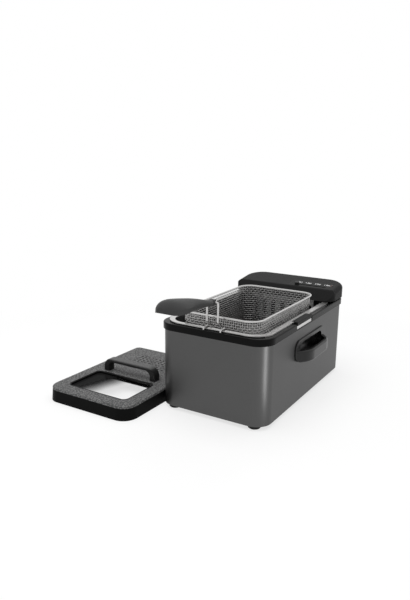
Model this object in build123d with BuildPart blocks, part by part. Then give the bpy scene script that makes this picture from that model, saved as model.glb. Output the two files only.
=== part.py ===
from build123d import *
from math import cos, radians, sin, tan
import os

os.makedirs("parts", exist_ok=True)

# A household deep fryer with its lid laid beside it. Millimetres, +Z up, -Y is the front.
# The origin is the middle of the whole set on the table.

# Housing: a steel wrap standing on a plastic tray with four rubber feet
HOUSING_W = 230.0
HOUSING_L = 408.0
HOUSING_R = 32.0
FOOT_H = 8.0
SHEET = 0.8
FIT = 0.3
FOOT_RADIUS = 12.0
FOOT_INSET_X = 27.0
FOOT_INSET_Y = 18.0
TRAY_FLOOR = 3.0
TRAY_WALL = 2.4
TRAY_WALL_H = 18.0
BOLT_INSET = 15.0
BOLT_RADIUS = 2.0
BOLT_HEAD_RADIUS = 4.0
BOLT_HEAD_H = 2.6
BOSS_RADIUS = 4.6
BOSS_H = 14.0
BOLT_PLAY = 0.1

# Collar: the black ring that closes the housing and carries the bowl
COLLAR_BASE = 162.0
COLLAR_TOP = 175.0
COLLAR_OVER = 3.0
COLLAR_EDGE_R = 2.5
DECK = 4.0
RIB = 2.2
RIB_DROP = 8.0
PLINTH_RISE = 3.2
PLINTH_INSET = 9.0

# Bowl: a drawn steel pot hanging by its flange
FLANGE_INSET = 5.0
FLANGE_SIDE = 11.0
FLANGE_END = 8.0
FLANGE_RISE = 3.0
BOWL_SHEET = 0.9
BOWL_R = 30.0
BOWL_FLOOR = 30.0
BOWL_FOOT_R = 22.0
BOWL_PLAY = 1.0
REST_GAP = 0.3
TAB_LEN = 72.0
TAB_BACK = 167.0
TAB_DROP = 7.0
TAB_LIP = 7.0
TAB_SIDE_PLAY = 3.0

# Control head: a moulded cap that hangs the heating element into the bowl
HEAD_L = 102.0
HEAD_OVER = 6.0
HEAD_WIDER = 2.0
HEAD_GAP = 0.6
HEAD_REAR_R = 42.0
HEAD_FRONT_R = 24.0
HEAD_WALL = 2.6
HEAD_EDGE_R = 9.0
NOSE_RUN = 21.5
NOSE_RISE = 22.2
HEAD_SLOPE = 7.0
FLANGE_UNDER_HEAD = 34.0
HEAD_FLOOR = 4.5
TONGUE_W = 30.0
TONGUE_T = 6.0
TONGUE_DROP = 26.0
TONGUE_X = 62.0
TONGUE_BACK = 32.0
TONGUE_PLAY = 0.4

# Controls on the head's sloped top
PANEL_W = 104.0
PANEL_L = 34.0
PANEL_T = 1.2
PANEL_FROM_END = 64.0
PANEL_BACK = 57.0
SLOT_LEN = 72.0
SLOT_W = 4.0
SLOT_FORWARD = 9.0
SLIDER_W = 8.0
SLIDER_L = 11.0
SLIDER_H = 5.0
SLIDER_STEM = 3.0
SLIDER_TRAVEL = 66.0
LAMP_RADIUS = 2.0
LAMP_SPACING = 9.0
BUTTON_RADIUS = 4.5
BUTTON_OUT = 3.0
BUTTON_PLAY = 0.4
GLAND_RADIUS = 8.0
GLAND_BORE = 4.2
GLAND_OUT = 7.0
GLAND_FROM_END = 54.0
BUTTON_BESIDE = 36.0
BOSS_FROM_END = 20.0
BOSS_REAR_FROM_END = 38.0
BOSS_AHEAD = 8.0
BOSS_FROM_BACK = 16.0

# Heating element and its guard
TUBE_RADIUS = 3.5
TUBE_SPACING = 40.0
TUBE_BEND = 18.0
ELEMENT_Z = 46.0
ELEMENT_FRONT = 41.0
LEG_BEHIND_NOSE = 17.0
GUARD_T = 1.0
GUARD_W = 150.0
GUARD_DROP = 108.0
GUARD_FLANGE = 14.0
BULB_RADIUS = 3.0
BULB_LEN = 72.0

# Basket: a wire rim and foot ring round mesh panels, hooked on the bowl's front edge
BASKET_SHIFT = 5.0
BASKET_SIDE_ROOM = 15.0
BASKET_FRONT_ROOM = 3.0
BASKET_BACK_ROOM = 22.0
BASKET_R = 28.0
BASKET_H = 92.0
RIM_Z = 199.0
WIRE_RADIUS = 2.0
NET_T = 1.2
NET_PITCH = 18.0
NET_BAR = 4.0
BRACKET_SPAN = 23.0
BRACKET_RISE = 31.0
BRACKET_LEG = 55.0
BRACKET_BEND = 4.5
BRACKET_AHEAD = 14.0
JOG_LOW = 16.0
JOG_HIGH = 6.0
HOOK_SPAN = 36.0
HOOK_RADIUS = 1.75
HOOK_LEG = 42.0
HOOK_REACH = 16.0
HOOK_TIP = 4.0

# Grip: a leaf-shaped handle that folds up and over into the basket
GRIP_LEN = 163.0
GRIP_TILT = 7.0
HUB_RADIUS = 4.5
HUB_W = 9.0
PIVOT_PLAY = 0.08
# Each section has its share of the length, half width, underside, edge and crown
GRIP_SECTIONS = [
    (0.015, 4.0, -4.0, 1.0, 3.5),
    (0.22, 8.0, -5.0, 1.0, 7.5),
    (0.45, 12.5, -5.0, 2.0, 12.5),
    (0.70, 21.0, -7.0, 1.5, 15.5),
    (0.87, 20.0, -7.5, 1.0, 16.0),
    (0.96, 13.5, -5.5, 0.5, 12.0),
    (1.00, 6.0, -3.0, 0.5, 5.0),
]

# Side handles
SIDE_H = 44.0
SIDE_R = 18.0
SIDE_Y = 3.0
SIDE_Z = 116.0
SIDE_PLATE = 3.0
SIDE_REACH = 24.0
SIDE_BAR_T = 7.0
SIDE_BAR_H = 24.0
SIDE_BAR_EDGE = 4.0
SIDE_SHOULDER = 30.0
SIDE_BOW_R = 44.0
CUP_LEN = 120.0
CUP_H = 34.0
CUP_R = 15.0
CUP_DEPTH = 10.0
CUP_WALL = 2.0
SCREW_BESIDE_CUP = 7.0
PLATE_BESIDE_SCREW = 10.0
SIDE_SCREW_RADIUS = 1.75
SIDE_SCREW_IN = 6.0

# Lid, laid flat on the table to the left of the housing
LID_W = 207.0
LID_L = 300.0
LID_H = 28.4
LID_R = 28.0
LID_REAR_R = 12.0
LID_FLARE = 2.0
LID_GAP = 2.0
LID_AHEAD = 151.0
LID_WALL = 3.0
LID_TOP_T = 4.4
LID_EDGE_R = 2.4
LID_LEDGE = 9.0
WINDOW_W = 147.0
WINDOW_L = 92.0
WINDOW_R = 10.0
WINDOW_AHEAD = 72.0
BEZEL = 3.0
BEZEL_PROUD = 0.6
GLASS_T = 4.0
GLASS_LAP = 5.0
RETAINER_WALL = 2.0
ARCH_W = 137.0
ARCH_H = 28.0
ARCH_T = 18.0
ARCH_LEG = 14.0
ARCH_BAR = 8.0
ARCH_R = 20.0
ARCH_AHEAD = 5.7
VENT_W = 114.0
VENT_L = 66.0
VENT_BEHIND = 74.0
VENT_PITCH = 10.0
VENT_HOLE = 2.6
VENT_EDGE = 7.0
PAD_T = 8.0

# Sizes that follow from the ones above
COLLAR_W = HOUSING_W + 2 * COLLAR_OVER
COLLAR_L = HOUSING_L + 2 * COLLAR_OVER
COLLAR_R = HOUSING_R + COLLAR_OVER
STEEL_TOP = COLLAR_TOP - DECK
HEAD_W = COLLAR_W + 2 * HEAD_WIDER
HEAD_BACK = HOUSING_L / 2 + HEAD_OVER
HEAD_FRONT = HEAD_BACK - HEAD_L
HEAD_MID = HEAD_BACK - HEAD_L / 2
FLANGE_TOP = COLLAR_TOP + FLANGE_RISE
FLANGE_W = HOUSING_W - 2 * FLANGE_INSET
FLANGE_FRONT = -HOUSING_L / 2 + FLANGE_INSET
FLANGE_BACK = HEAD_FRONT + FLANGE_UNDER_HEAD
FLANGE_L = FLANGE_BACK - FLANGE_FRONT
FLANGE_MID = (FLANGE_BACK + FLANGE_FRONT) / 2
FLANGE_R = BOWL_R + FLANGE_END
BOWL_W = FLANGE_W - 2 * FLANGE_SIDE
BOWL_L = FLANGE_L - 2 * FLANGE_END
BOWL_FRONT = FLANGE_FRONT + FLANGE_END
TAB_Y = TAB_BACK - HOUSING_L / 2
TAB_ROOT = BOWL_W / 2 + 5
TAB_END = COLLAR_W / 2 - 1
TAB_Z = FLANGE_TOP - TAB_DROP
NOTCH_LEN = TAB_LEN + 2 * TAB_SIDE_PLAY
NOTCH_Z = TAB_Z - TAB_LIP - 0.5
HEAD_BASE = FLANGE_TOP + HEAD_GAP
CREASE_Y = HEAD_FRONT + NOSE_RUN
CREASE_Z = HEAD_BASE + NOSE_RISE
HEAD_BACK_Z = CREASE_Z + (HEAD_BACK - CREASE_Y) * tan(radians(HEAD_SLOPE))
PANEL_X = HEAD_W / 2 - PANEL_FROM_END
PANEL_Y = HEAD_BACK - PANEL_BACK
PANEL_Z = CREASE_Z + (PANEL_Y - CREASE_Y) * tan(radians(HEAD_SLOPE))
LEG_Y = HEAD_FRONT + LEG_BEHIND_NOSE
TONGUE_Y = HEAD_BACK - TONGUE_BACK
BASKET_W = BOWL_W - 2 * BASKET_SIDE_ROOM
BASKET_FRONT = BOWL_FRONT + BASKET_FRONT_ROOM
BASKET_L = HEAD_FRONT - BASKET_BACK_ROOM - BASKET_FRONT
BASKET_MID = BASKET_FRONT + BASKET_L / 2
NET_W = BASKET_W - 2 * WIRE_RADIUS
NET_L = BASKET_L - 2 * WIRE_RADIUS
NET_R = BASKET_R - WIRE_RADIUS
NET_BASE = RIM_Z - BASKET_H
PIVOT_Y = BASKET_FRONT - BRACKET_AHEAD
PIVOT_Z = RIM_Z + BRACKET_RISE
SIDE_SCREW_SPAN = CUP_LEN + 2 * SCREW_BESIDE_CUP
SIDE_LEN = SIDE_SCREW_SPAN + 2 * PLATE_BESIDE_SCREW
SIDE_SCREW_UP = (SIDE_BAR_H - SIDE_H) / 2
LID_X = -(HOUSING_W / 2 + LID_GAP + LID_FLARE + LID_W / 2)
LID_TOP_Z = LID_H - LID_TOP_T
WINDOW_Y = -LID_AHEAD - WINDOW_AHEAD
ARCH_Y = -LID_AHEAD - ARCH_AHEAD
VENT_Y = -LID_AHEAD + VENT_BEHIND
VENT_COLUMNS = int((VENT_W - 2 * VENT_EDGE) // VENT_PITCH) + 1
VENT_ROWS = int((VENT_L - 2 * VENT_EDGE) // VENT_PITCH) + 1

# Where the middle of the fryer stands in the frame of the whole set
SET_LEFT = LID_X - LID_W / 2 - LID_FLARE
SET_RIGHT = HOUSING_W / 2 + SIDE_REACH
GRIP_END_LOW = GRIP_SECTIONS[-1][2]
SET_FRONT = PIVOT_Y - GRIP_LEN * cos(radians(GRIP_TILT)) + GRIP_END_LOW * sin(radians(GRIP_TILT))
SET_BACK = HEAD_BACK + GLAND_OUT
FRYER_X = -(SET_LEFT + SET_RIGHT) / 2
FRYER_Y = -(SET_FRONT + SET_BACK) / 2


def level(x, y, z):
    """A horizontal plane at a place given from the fryer's middle."""
    return Plane((FRYER_X + x, FRYER_Y + y, z))


def facing_right(x, y, z):
    """An upright plane whose normal is +X, with +Y to its right and +Z up."""
    return Plane((FRYER_X + x, FRYER_Y + y, z), x_dir=(0, 1, 0), z_dir=(1, 0, 0))


def facing_front(x, y, z):
    """An upright plane whose normal is -Y, with +X to its right and +Z up."""
    return Plane((FRYER_X + x, FRYER_Y + y, z), x_dir=(1, 0, 0), z_dir=(0, -1, 0))


def place(x, y, z):
    """A point given from the fryer's middle."""
    return Vector(FRYER_X + x, FRYER_Y + y, z)


PANEL_PLANE = Plane(
    place(PANEL_X, PANEL_Y, PANEL_Z),
    x_dir=(1, 0, 0),
    z_dir=(0, -sin(radians(HEAD_SLOPE)), cos(radians(HEAD_SLOPE))),
)
BOLT_SPOTS = GridLocations(
    HOUSING_W - 2 * BOLT_INSET, HOUSING_L - 2 * (BOLT_INSET - 1), 2, 2
).locations
FOOT_SPOTS = GridLocations(
    HOUSING_W - 2 * FOOT_INSET_X, HOUSING_L - 2 * FOOT_INSET_Y, 2, 2
).locations

# Steel wrap, open above and below, with an opening for each side handle's cup
with BuildPart() as housing_shell:
    with BuildSketch(level(0, 0, FOOT_H)):
        RectangleRounded(HOUSING_W, HOUSING_L, HOUSING_R)
        RectangleRounded(
            HOUSING_W - 2 * SHEET, HOUSING_L - 2 * SHEET, HOUSING_R - SHEET, mode=Mode.SUBTRACT
        )
    extrude(amount=STEEL_TOP - FOOT_H)
    with BuildSketch(facing_right(-HOUSING_W, SIDE_Y, SIDE_Z)):
        RectangleRounded(CUP_LEN + 2 * FIT, CUP_H + 2 * FIT, CUP_R + FIT)
        with GridLocations(SIDE_SCREW_SPAN, 1, 2, 1):
            with Locations((0, SIDE_SCREW_UP)):
                Circle(SIDE_SCREW_RADIUS + BOLT_PLAY)
    extrude(amount=2 * HOUSING_W, mode=Mode.SUBTRACT)
    with BuildSketch(level(0, TAB_Y, NOTCH_Z - 1)):
        Rectangle(HOUSING_W + 20, NOTCH_LEN)
    extrude(amount=DECK + STEEL_TOP, mode=Mode.SUBTRACT)
housing_shell.part.label = "housing_shell"
export_step(housing_shell.part, "parts/housing_shell.step")

# Moulded tray that closes the housing below, with air slots, bolt bosses and foot holes
TRAY_W = HOUSING_W - 2 * SHEET
TRAY_L = HOUSING_L - 2 * SHEET
TRAY_R = HOUSING_R - SHEET
with BuildPart() as base_tray:
    with BuildSketch(level(0, 0, FOOT_H)):
        RectangleRounded(TRAY_W, TRAY_L, TRAY_R)
    extrude(amount=TRAY_FLOOR)
    with BuildSketch(level(0, 0, FOOT_H)):
        RectangleRounded(TRAY_W, TRAY_L, TRAY_R)
        RectangleRounded(
            TRAY_W - 2 * TRAY_WALL, TRAY_L - 2 * TRAY_WALL, TRAY_R - TRAY_WALL, mode=Mode.SUBTRACT
        )
    extrude(amount=TRAY_WALL_H)
    with BuildSketch(level(0, 0, FOOT_H)):
        with Locations(BOLT_SPOTS):
            Circle(BOSS_RADIUS)
    extrude(amount=BOSS_H)
    with BuildSketch(level(0, 0, FOOT_H)):
        with Locations(BOLT_SPOTS):
            Circle(BOLT_RADIUS + BOLT_PLAY)
        with Locations(FOOT_SPOTS):
            Circle(FOOT_RADIUS / 3)
        with GridLocations(1, 60, 1, 2):
            with GridLocations(14, 1, 9, 1):
                SlotOverall(44, 5, rotation=90)
    extrude(amount=BOSS_H, mode=Mode.SUBTRACT)
    with BuildSketch(level(0, 0, FOOT_H)):
        with Locations(BOLT_SPOTS):
            Circle(BOLT_HEAD_RADIUS + BOLT_PLAY)
    extrude(amount=BOLT_HEAD_H, mode=Mode.SUBTRACT)
base_tray.part.label = "base_tray"
export_step(base_tray.part, "parts/base_tray.step")

# Rubber feet, each with a stem through the tray
with BuildPart() as rubber_feet:
    with BuildSketch(level(0, 0, 0)):
        with Locations(FOOT_SPOTS):
            Circle(FOOT_RADIUS)
    extrude(amount=FOOT_H)
    chamfer(rubber_feet.edges().group_by(Axis.Z)[0], 1.2)
    with BuildSketch(level(0, 0, FOOT_H)):
        with Locations(FOOT_SPOTS):
            Circle(FOOT_RADIUS / 3)
    extrude(amount=TRAY_FLOOR + 1)
rubber_feet.part.label = "rubber_feet"
export_step(rubber_feet.part, "parts/rubber_feet.step")

# Long bolts that clamp the wrap between the tray and the collar
with BuildPart() as tie_bolts:
    with BuildSketch(level(0, 0, FOOT_H)):
        with Locations(BOLT_SPOTS):
            Circle(BOLT_HEAD_RADIUS)
    extrude(amount=BOLT_HEAD_H)
    with BuildSketch(level(0, 0, FOOT_H)):
        with Locations(BOLT_SPOTS):
            Circle(BOLT_RADIUS)
    extrude(amount=STEEL_TOP - 1 - FOOT_H)
tie_bolts.part.label = "tie_bolts"
export_step(tie_bolts.part, "parts/tie_bolts.step")

# Collar: skirt over the steel, rib inside it, deck with the bowl's opening, sockets for the head
with BuildPart() as top_collar:
    with BuildSketch(level(0, 0, COLLAR_BASE)):
        RectangleRounded(COLLAR_W, COLLAR_L, COLLAR_R)
    extrude(amount=COLLAR_TOP - COLLAR_BASE)
    fillet(top_collar.faces().sort_by(Axis.Z)[-1].edges(), COLLAR_EDGE_R)
    with BuildSketch(level(0, 0, COLLAR_BASE)):
        RectangleRounded(HOUSING_W, HOUSING_L, HOUSING_R)
    extrude(amount=STEEL_TOP - COLLAR_BASE, mode=Mode.SUBTRACT)
    with BuildSketch(level(0, 0, COLLAR_BASE - RIB_DROP)):
        RectangleRounded(TRAY_W, TRAY_L, TRAY_R)
        RectangleRounded(TRAY_W - 2 * RIB, TRAY_L - 2 * RIB, TRAY_R - RIB, mode=Mode.SUBTRACT)
    extrude(amount=STEEL_TOP - COLLAR_BASE + RIB_DROP)
    with BuildSketch(level(0, 0, STEEL_TOP - BOSS_H)):
        with Locations(BOLT_SPOTS):
            Circle(BOSS_RADIUS)
        with Locations((-TONGUE_X, TONGUE_Y), (TONGUE_X, TONGUE_Y)):
            Rectangle(TONGUE_W + 6, TONGUE_T + 6)
    extrude(amount=BOSS_H)
    with BuildSketch(level(0, 0, COLLAR_TOP)):
        with Locations((0, (FLANGE_BACK + HOUSING_L / 2) / 2)):
            RectangleRounded(
                HOUSING_W - 2 * PLINTH_INSET, HOUSING_L / 2 - FLANGE_BACK - PLINTH_INSET, 6
            )
    extrude(amount=PLINTH_RISE)
    with BuildSketch(level(0, FLANGE_MID, COLLAR_BASE - RIB_DROP)):
        RectangleRounded(
            BOWL_W + 2 * (BOWL_SHEET + BOWL_PLAY),
            BOWL_L + 2 * (BOWL_SHEET + BOWL_PLAY),
            BOWL_R + BOWL_SHEET + BOWL_PLAY,
        )
    extrude(amount=COLLAR_TOP, mode=Mode.SUBTRACT)
    with BuildSketch(level(0, TAB_Y, NOTCH_Z)):
        Rectangle(COLLAR_W + 2, NOTCH_LEN)
    extrude(amount=COLLAR_TOP - NOTCH_Z + 1, mode=Mode.SUBTRACT)
    with BuildSketch(level(0, 0, STEEL_TOP - BOSS_H)):
        with Locations(BOLT_SPOTS):
            Circle(BOLT_RADIUS + BOLT_PLAY)
    extrude(amount=BOSS_H, mode=Mode.SUBTRACT)
    with BuildSketch(level(0, 0, STEEL_TOP - BOSS_H)):
        with Locations((-TONGUE_X, TONGUE_Y), (TONGUE_X, TONGUE_Y)):
            Rectangle(TONGUE_W + 2 * TONGUE_PLAY, TONGUE_T + 2 * TONGUE_PLAY)
    extrude(amount=BOSS_H + DECK + PLINTH_RISE + 1, mode=Mode.SUBTRACT)
top_collar.part.label = "top_collar"
export_step(top_collar.part, "parts/top_collar.step")


def side_handle_block(hand):
    """One moulded carrying handle: a cup let into the wall, a plate over its edge and a bowed bar.

    hand is 1 for the right side and -1 for the left.
    """
    wall = hand * HOUSING_W / 2
    half = SIDE_LEN / 2
    reach_in = SIDE_REACH - SIDE_BAR_T
    # the bar bows out from the plate's two ends and keeps to the plate's outline
    with BuildPart() as bar:
        with BuildSketch(level(wall, SIDE_Y, SIDE_Z - SIDE_H / 2)):
            with BuildLine():
                bow = FilletPolyline(
                    (0, -half),
                    (hand * SIDE_REACH, SIDE_SHOULDER - half),
                    (hand * SIDE_REACH, half - SIDE_SHOULDER),
                    (0, half),
                    radius=SIDE_BOW_R,
                )
                Line(bow @ 0, bow @ 1)
            make_face()
        extrude(amount=SIDE_BAR_H)
        wall_plane = place(wall, 0, 0).X
        bowed_edges = bar.edges().filter_by(lambda edge: abs(edge.center().X - wall_plane) > 1)
        low_edges = bowed_edges.group_by(Axis.Z)[0]
        high_edges = bowed_edges.group_by(Axis.Z)[-1]
        fillet(low_edges + high_edges, SIDE_BAR_EDGE)
        with BuildSketch(level(wall, SIDE_Y, SIDE_Z - SIDE_H / 2)):
            with BuildLine():
                inside = FilletPolyline(
                    (0, PLATE_BESIDE_SCREW + SCREW_BESIDE_CUP - 2 - half),
                    (hand * reach_in, PLATE_BESIDE_SCREW + SCREW_BESIDE_CUP + reach_in - half),
                    (hand * reach_in, half - PLATE_BESIDE_SCREW - SCREW_BESIDE_CUP - reach_in),
                    (0, half - PLATE_BESIDE_SCREW - SCREW_BESIDE_CUP + 2),
                    radius=10,
                )
                Line(inside @ 0, inside @ 1)
            make_face()
        extrude(amount=SIDE_BAR_H, mode=Mode.SUBTRACT)
        with BuildSketch(facing_right(wall, SIDE_Y, SIDE_Z)):
            RectangleRounded(SIDE_LEN, SIDE_H, SIDE_R)
        extrude(amount=hand * 2 * SIDE_REACH, mode=Mode.INTERSECT)
    with BuildPart() as handle:
        with BuildSketch(facing_right(wall, SIDE_Y, SIDE_Z)):
            RectangleRounded(SIDE_LEN, SIDE_H, SIDE_R)
        extrude(amount=hand * SIDE_PLATE)
        outer = handle.faces().sort_by(Axis.X)[-1 if hand > 0 else 0]
        fillet(outer.edges(), SIDE_PLATE / 2)
        with BuildSketch(facing_right(wall, SIDE_Y, SIDE_Z)):
            RectangleRounded(CUP_LEN, CUP_H, CUP_R)
        extrude(amount=-hand * CUP_DEPTH)
        with BuildSketch(facing_right(wall - hand * (CUP_DEPTH - CUP_WALL), SIDE_Y, SIDE_Z)):
            RectangleRounded(CUP_LEN - 2 * CUP_WALL, CUP_H - 2 * CUP_WALL, CUP_R - CUP_WALL)
        extrude(amount=hand * (CUP_DEPTH + SIDE_PLATE), mode=Mode.SUBTRACT)
        add(bar.part)
        with BuildSketch(facing_right(wall, SIDE_Y, SIDE_Z)):
            with GridLocations(SIDE_SCREW_SPAN, 1, 2, 1):
                with Locations((0, SIDE_SCREW_UP)):
                    Circle(SIDE_SCREW_RADIUS)
        extrude(amount=hand * SIDE_SCREW_IN, mode=Mode.SUBTRACT)
    return handle


side_handle_right = side_handle_block(1)
side_handle_right.part.label = "side_handle_right"
export_step(side_handle_right.part, "parts/side_handle_right.step")

side_handle_left = side_handle_block(-1)
side_handle_left.part.label = "side_handle_left"
export_step(side_handle_left.part, "parts/side_handle_left.step")

# Screws that hold the side handles from inside the wrap
with BuildPart() as handle_screws:
    for hand in (1, -1):
        inner_face = hand * (HOUSING_W / 2 - SHEET)
        with BuildSketch(facing_right(inner_face, SIDE_Y, SIDE_Z)):
            with GridLocations(SIDE_SCREW_SPAN, 1, 2, 1):
                with Locations((0, SIDE_SCREW_UP)):
                    Circle(2 * SIDE_SCREW_RADIUS)
        extrude(amount=-hand * 2)
        with BuildSketch(facing_right(inner_face, SIDE_Y, SIDE_Z)):
            with GridLocations(SIDE_SCREW_SPAN, 1, 2, 1):
                with Locations((0, SIDE_SCREW_UP)):
                    Circle(SIDE_SCREW_RADIUS)
        extrude(amount=hand * (SHEET + SIDE_SCREW_IN))
handle_screws.part.label = "handle_screws"
export_step(handle_screws.part, "parts/handle_screws.step")

# Bowl: a rounded pot with a flat flange, a turned-down lip and two stepped lifting tabs
with BuildPart() as oil_bowl:
    with BuildSketch(level(0, FLANGE_MID, BOWL_FLOOR)):
        RectangleRounded(BOWL_W + 2 * BOWL_SHEET, BOWL_L + 2 * BOWL_SHEET, BOWL_R + BOWL_SHEET)
    extrude(amount=FLANGE_TOP - BOWL_FLOOR)
    fillet(oil_bowl.faces().sort_by(Axis.Z)[0].edges(), BOWL_FOOT_R)
    offset(amount=-BOWL_SHEET, openings=oil_bowl.faces().sort_by(Axis.Z)[-1])
    with BuildSketch(level(0, FLANGE_MID, FLANGE_TOP - BOWL_SHEET)):
        RectangleRounded(FLANGE_W, FLANGE_L, FLANGE_R)
        RectangleRounded(BOWL_W, BOWL_L, BOWL_R, mode=Mode.SUBTRACT)
    extrude(amount=BOWL_SHEET)
    with BuildSketch(level(0, FLANGE_MID, COLLAR_TOP + REST_GAP)):
        RectangleRounded(FLANGE_W, FLANGE_L, FLANGE_R)
        RectangleRounded(
            FLANGE_W - 2 * BOWL_SHEET, FLANGE_L - 2 * BOWL_SHEET, FLANGE_R - BOWL_SHEET, mode=Mode.SUBTRACT
        )
    extrude(amount=FLANGE_RISE - REST_GAP)
    with BuildSketch(level(0, TAB_Y, TAB_Z - TAB_LIP)):
        with Locations((TAB_ROOT + 10, 0), (-TAB_ROOT - 10, 0)):
            Rectangle(20, TAB_LEN)
    extrude(amount=TAB_LIP + TAB_DROP, mode=Mode.SUBTRACT)
    with BuildSketch(facing_front(0, TAB_Y + TAB_LEN / 2, 0)):
        for hand in (1, -1):
            with BuildLine():
                Polyline(
                    (hand * (TAB_ROOT - BOWL_SHEET), FLANGE_TOP),
                    (hand * TAB_ROOT, FLANGE_TOP),
                    (hand * TAB_ROOT, TAB_Z),
                    (hand * TAB_END, TAB_Z),
                    (hand * TAB_END, TAB_Z - TAB_LIP),
                    (hand * (TAB_END - BOWL_SHEET), TAB_Z - TAB_LIP),
                    (hand * (TAB_END - BOWL_SHEET), TAB_Z - BOWL_SHEET),
                    (hand * (TAB_ROOT - BOWL_SHEET), TAB_Z - BOWL_SHEET),
                    close=True,
                )
            make_face()
    extrude(amount=TAB_LEN)
oil_bowl.part.label = "oil_bowl"
export_step(oil_bowl.part, "parts/oil_bowl.step")

# Heat-proof pads on the lifting tabs
with BuildPart() as bowl_grips:
    with BuildSketch(level(0, TAB_Y, TAB_Z)):
        for hand in (1, -1):
            with Locations((hand * (TAB_ROOT + COLLAR_W / 2) / 2, 0)):
                Rectangle(COLLAR_W / 2 - TAB_ROOT, TAB_LEN)
    extrude(amount=TAB_DROP + 0.5)
    fillet(bowl_grips.edges().group_by(Axis.Z)[-1], 1.5)
bowl_grips.part.label = "bowl_grips"
export_step(bowl_grips.part, "parts/bowl_grips.step")


def head_block(inset, edge_radius, base):
    """The head's form, or the same form moved in by a wall: plan, sloped top and raked nose."""
    rake = NOSE_RISE / NOSE_RUN
    nose_shift = inset * (1 + rake**2) ** 0.5 / rake
    top_drop = inset / cos(radians(HEAD_SLOPE))
    front = HEAD_FRONT + nose_shift
    crease_y = CREASE_Y + nose_shift - top_drop / rake
    crease_z = CREASE_Z - top_drop + (crease_y - CREASE_Y) * tan(radians(HEAD_SLOPE))
    back_z = HEAD_BACK_Z - top_drop
    with BuildPart() as block:
        with BuildSketch(level(0, 0, base)) as plan:
            with Locations((0, HEAD_MID)):
                Rectangle(HEAD_W - 2 * inset, HEAD_L - 2 * inset)
            fillet(plan.vertices().group_by(Axis.Y)[-1], HEAD_REAR_R - inset)
        extrude(amount=HEAD_BACK_Z - base + 5)
        with BuildSketch(facing_right(-HEAD_W, 0, 0)):
            with BuildLine():
                Polyline(
                    (front - (HEAD_BASE - base) / rake, base),
                    (crease_y, crease_z),
                    (HEAD_BACK + 10, back_z + 10 * tan(radians(HEAD_SLOPE))),
                    (HEAD_BACK + 10, base),
                    close=True,
                )
            make_face()
        extrude(amount=2 * HEAD_W, mode=Mode.INTERSECT)
        top = block.faces().filter_by(GeomType.PLANE).sort_by(Axis.Z)[-1]
        fillet(top.edges(), edge_radius)
        with BuildSketch(level(0, HEAD_MID, base)):
            RectangleRounded(HEAD_W - 2 * inset, HEAD_L - 2 * inset, HEAD_FRONT_R - inset)
        extrude(amount=HEAD_BACK_Z, mode=Mode.INTERSECT)
    return block


# Head cover: a thin shell with screw bosses, a panel recess, and holes in its back
head_outer = head_block(0, HEAD_EDGE_R, HEAD_BASE)
head_inner = head_block(HEAD_WALL, HEAD_EDGE_R - HEAD_WALL, HEAD_BASE - 1)
BOSS_SIDE = HEAD_W / 2 - BOSS_FROM_END
BOSS_REAR = HEAD_W / 2 - BOSS_REAR_FROM_END
HEAD_BOSS_SPOTS = [
    (-BOSS_SIDE, HEAD_MID - BOSS_AHEAD),
    (BOSS_SIDE, HEAD_MID - BOSS_AHEAD),
    (-BOSS_REAR, HEAD_BACK - BOSS_FROM_BACK),
    (BOSS_REAR, HEAD_BACK - BOSS_FROM_BACK),
]
REAR_Z = HEAD_BASE + 12
GLAND_X = GLAND_FROM_END - HEAD_W / 2
BUTTON_X = GLAND_X + BUTTON_BESIDE
with BuildPart() as head_cover:
    add(head_outer.part)
    add(head_inner.part, mode=Mode.SUBTRACT)
    for boss_x, boss_y in HEAD_BOSS_SPOTS:
        roof = CREASE_Z + (boss_y - CREASE_Y) * tan(radians(HEAD_SLOPE)) - HEAD_WALL / 2
        with BuildSketch(level(boss_x, boss_y, HEAD_BASE + HEAD_FLOOR)):
            Circle(4)
        extrude(amount=roof - HEAD_BASE - HEAD_FLOOR)
    with BuildSketch(level(0, 0, HEAD_BASE + HEAD_FLOOR)):
        with Locations(HEAD_BOSS_SPOTS):
            Circle(1.5)
    extrude(amount=12, mode=Mode.SUBTRACT)
    with BuildSketch(PANEL_PLANE):
        RectangleRounded(PANEL_W, PANEL_L, 4)
    extrude(amount=-PANEL_T, mode=Mode.SUBTRACT)
    with BuildSketch(PANEL_PLANE):
        with Locations((0, -SLOT_FORWARD)):
            SlotOverall(SLOT_LEN + 4, SLOT_W + 4)
        with Locations((PANEL_W / 2 - 8, 4)):
            with GridLocations(1, LAMP_SPACING, 1, 2):
                Circle(LAMP_RADIUS)
    extrude(amount=-3 * HEAD_WALL, mode=Mode.SUBTRACT)
    with BuildSketch(facing_front(0, HEAD_BACK + 1, REAR_Z)):
        with Locations((BUTTON_X, 0)):
            Circle(BUTTON_RADIUS + BUTTON_PLAY)
        with Locations((GLAND_X, 0)):
            Circle(GLAND_RADIUS - 2)
    extrude(amount=HEAD_WALL + 2, mode=Mode.SUBTRACT)
head_cover.part.label = "head_cover"
export_step(head_cover.part, "parts/head_cover.step")

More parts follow.
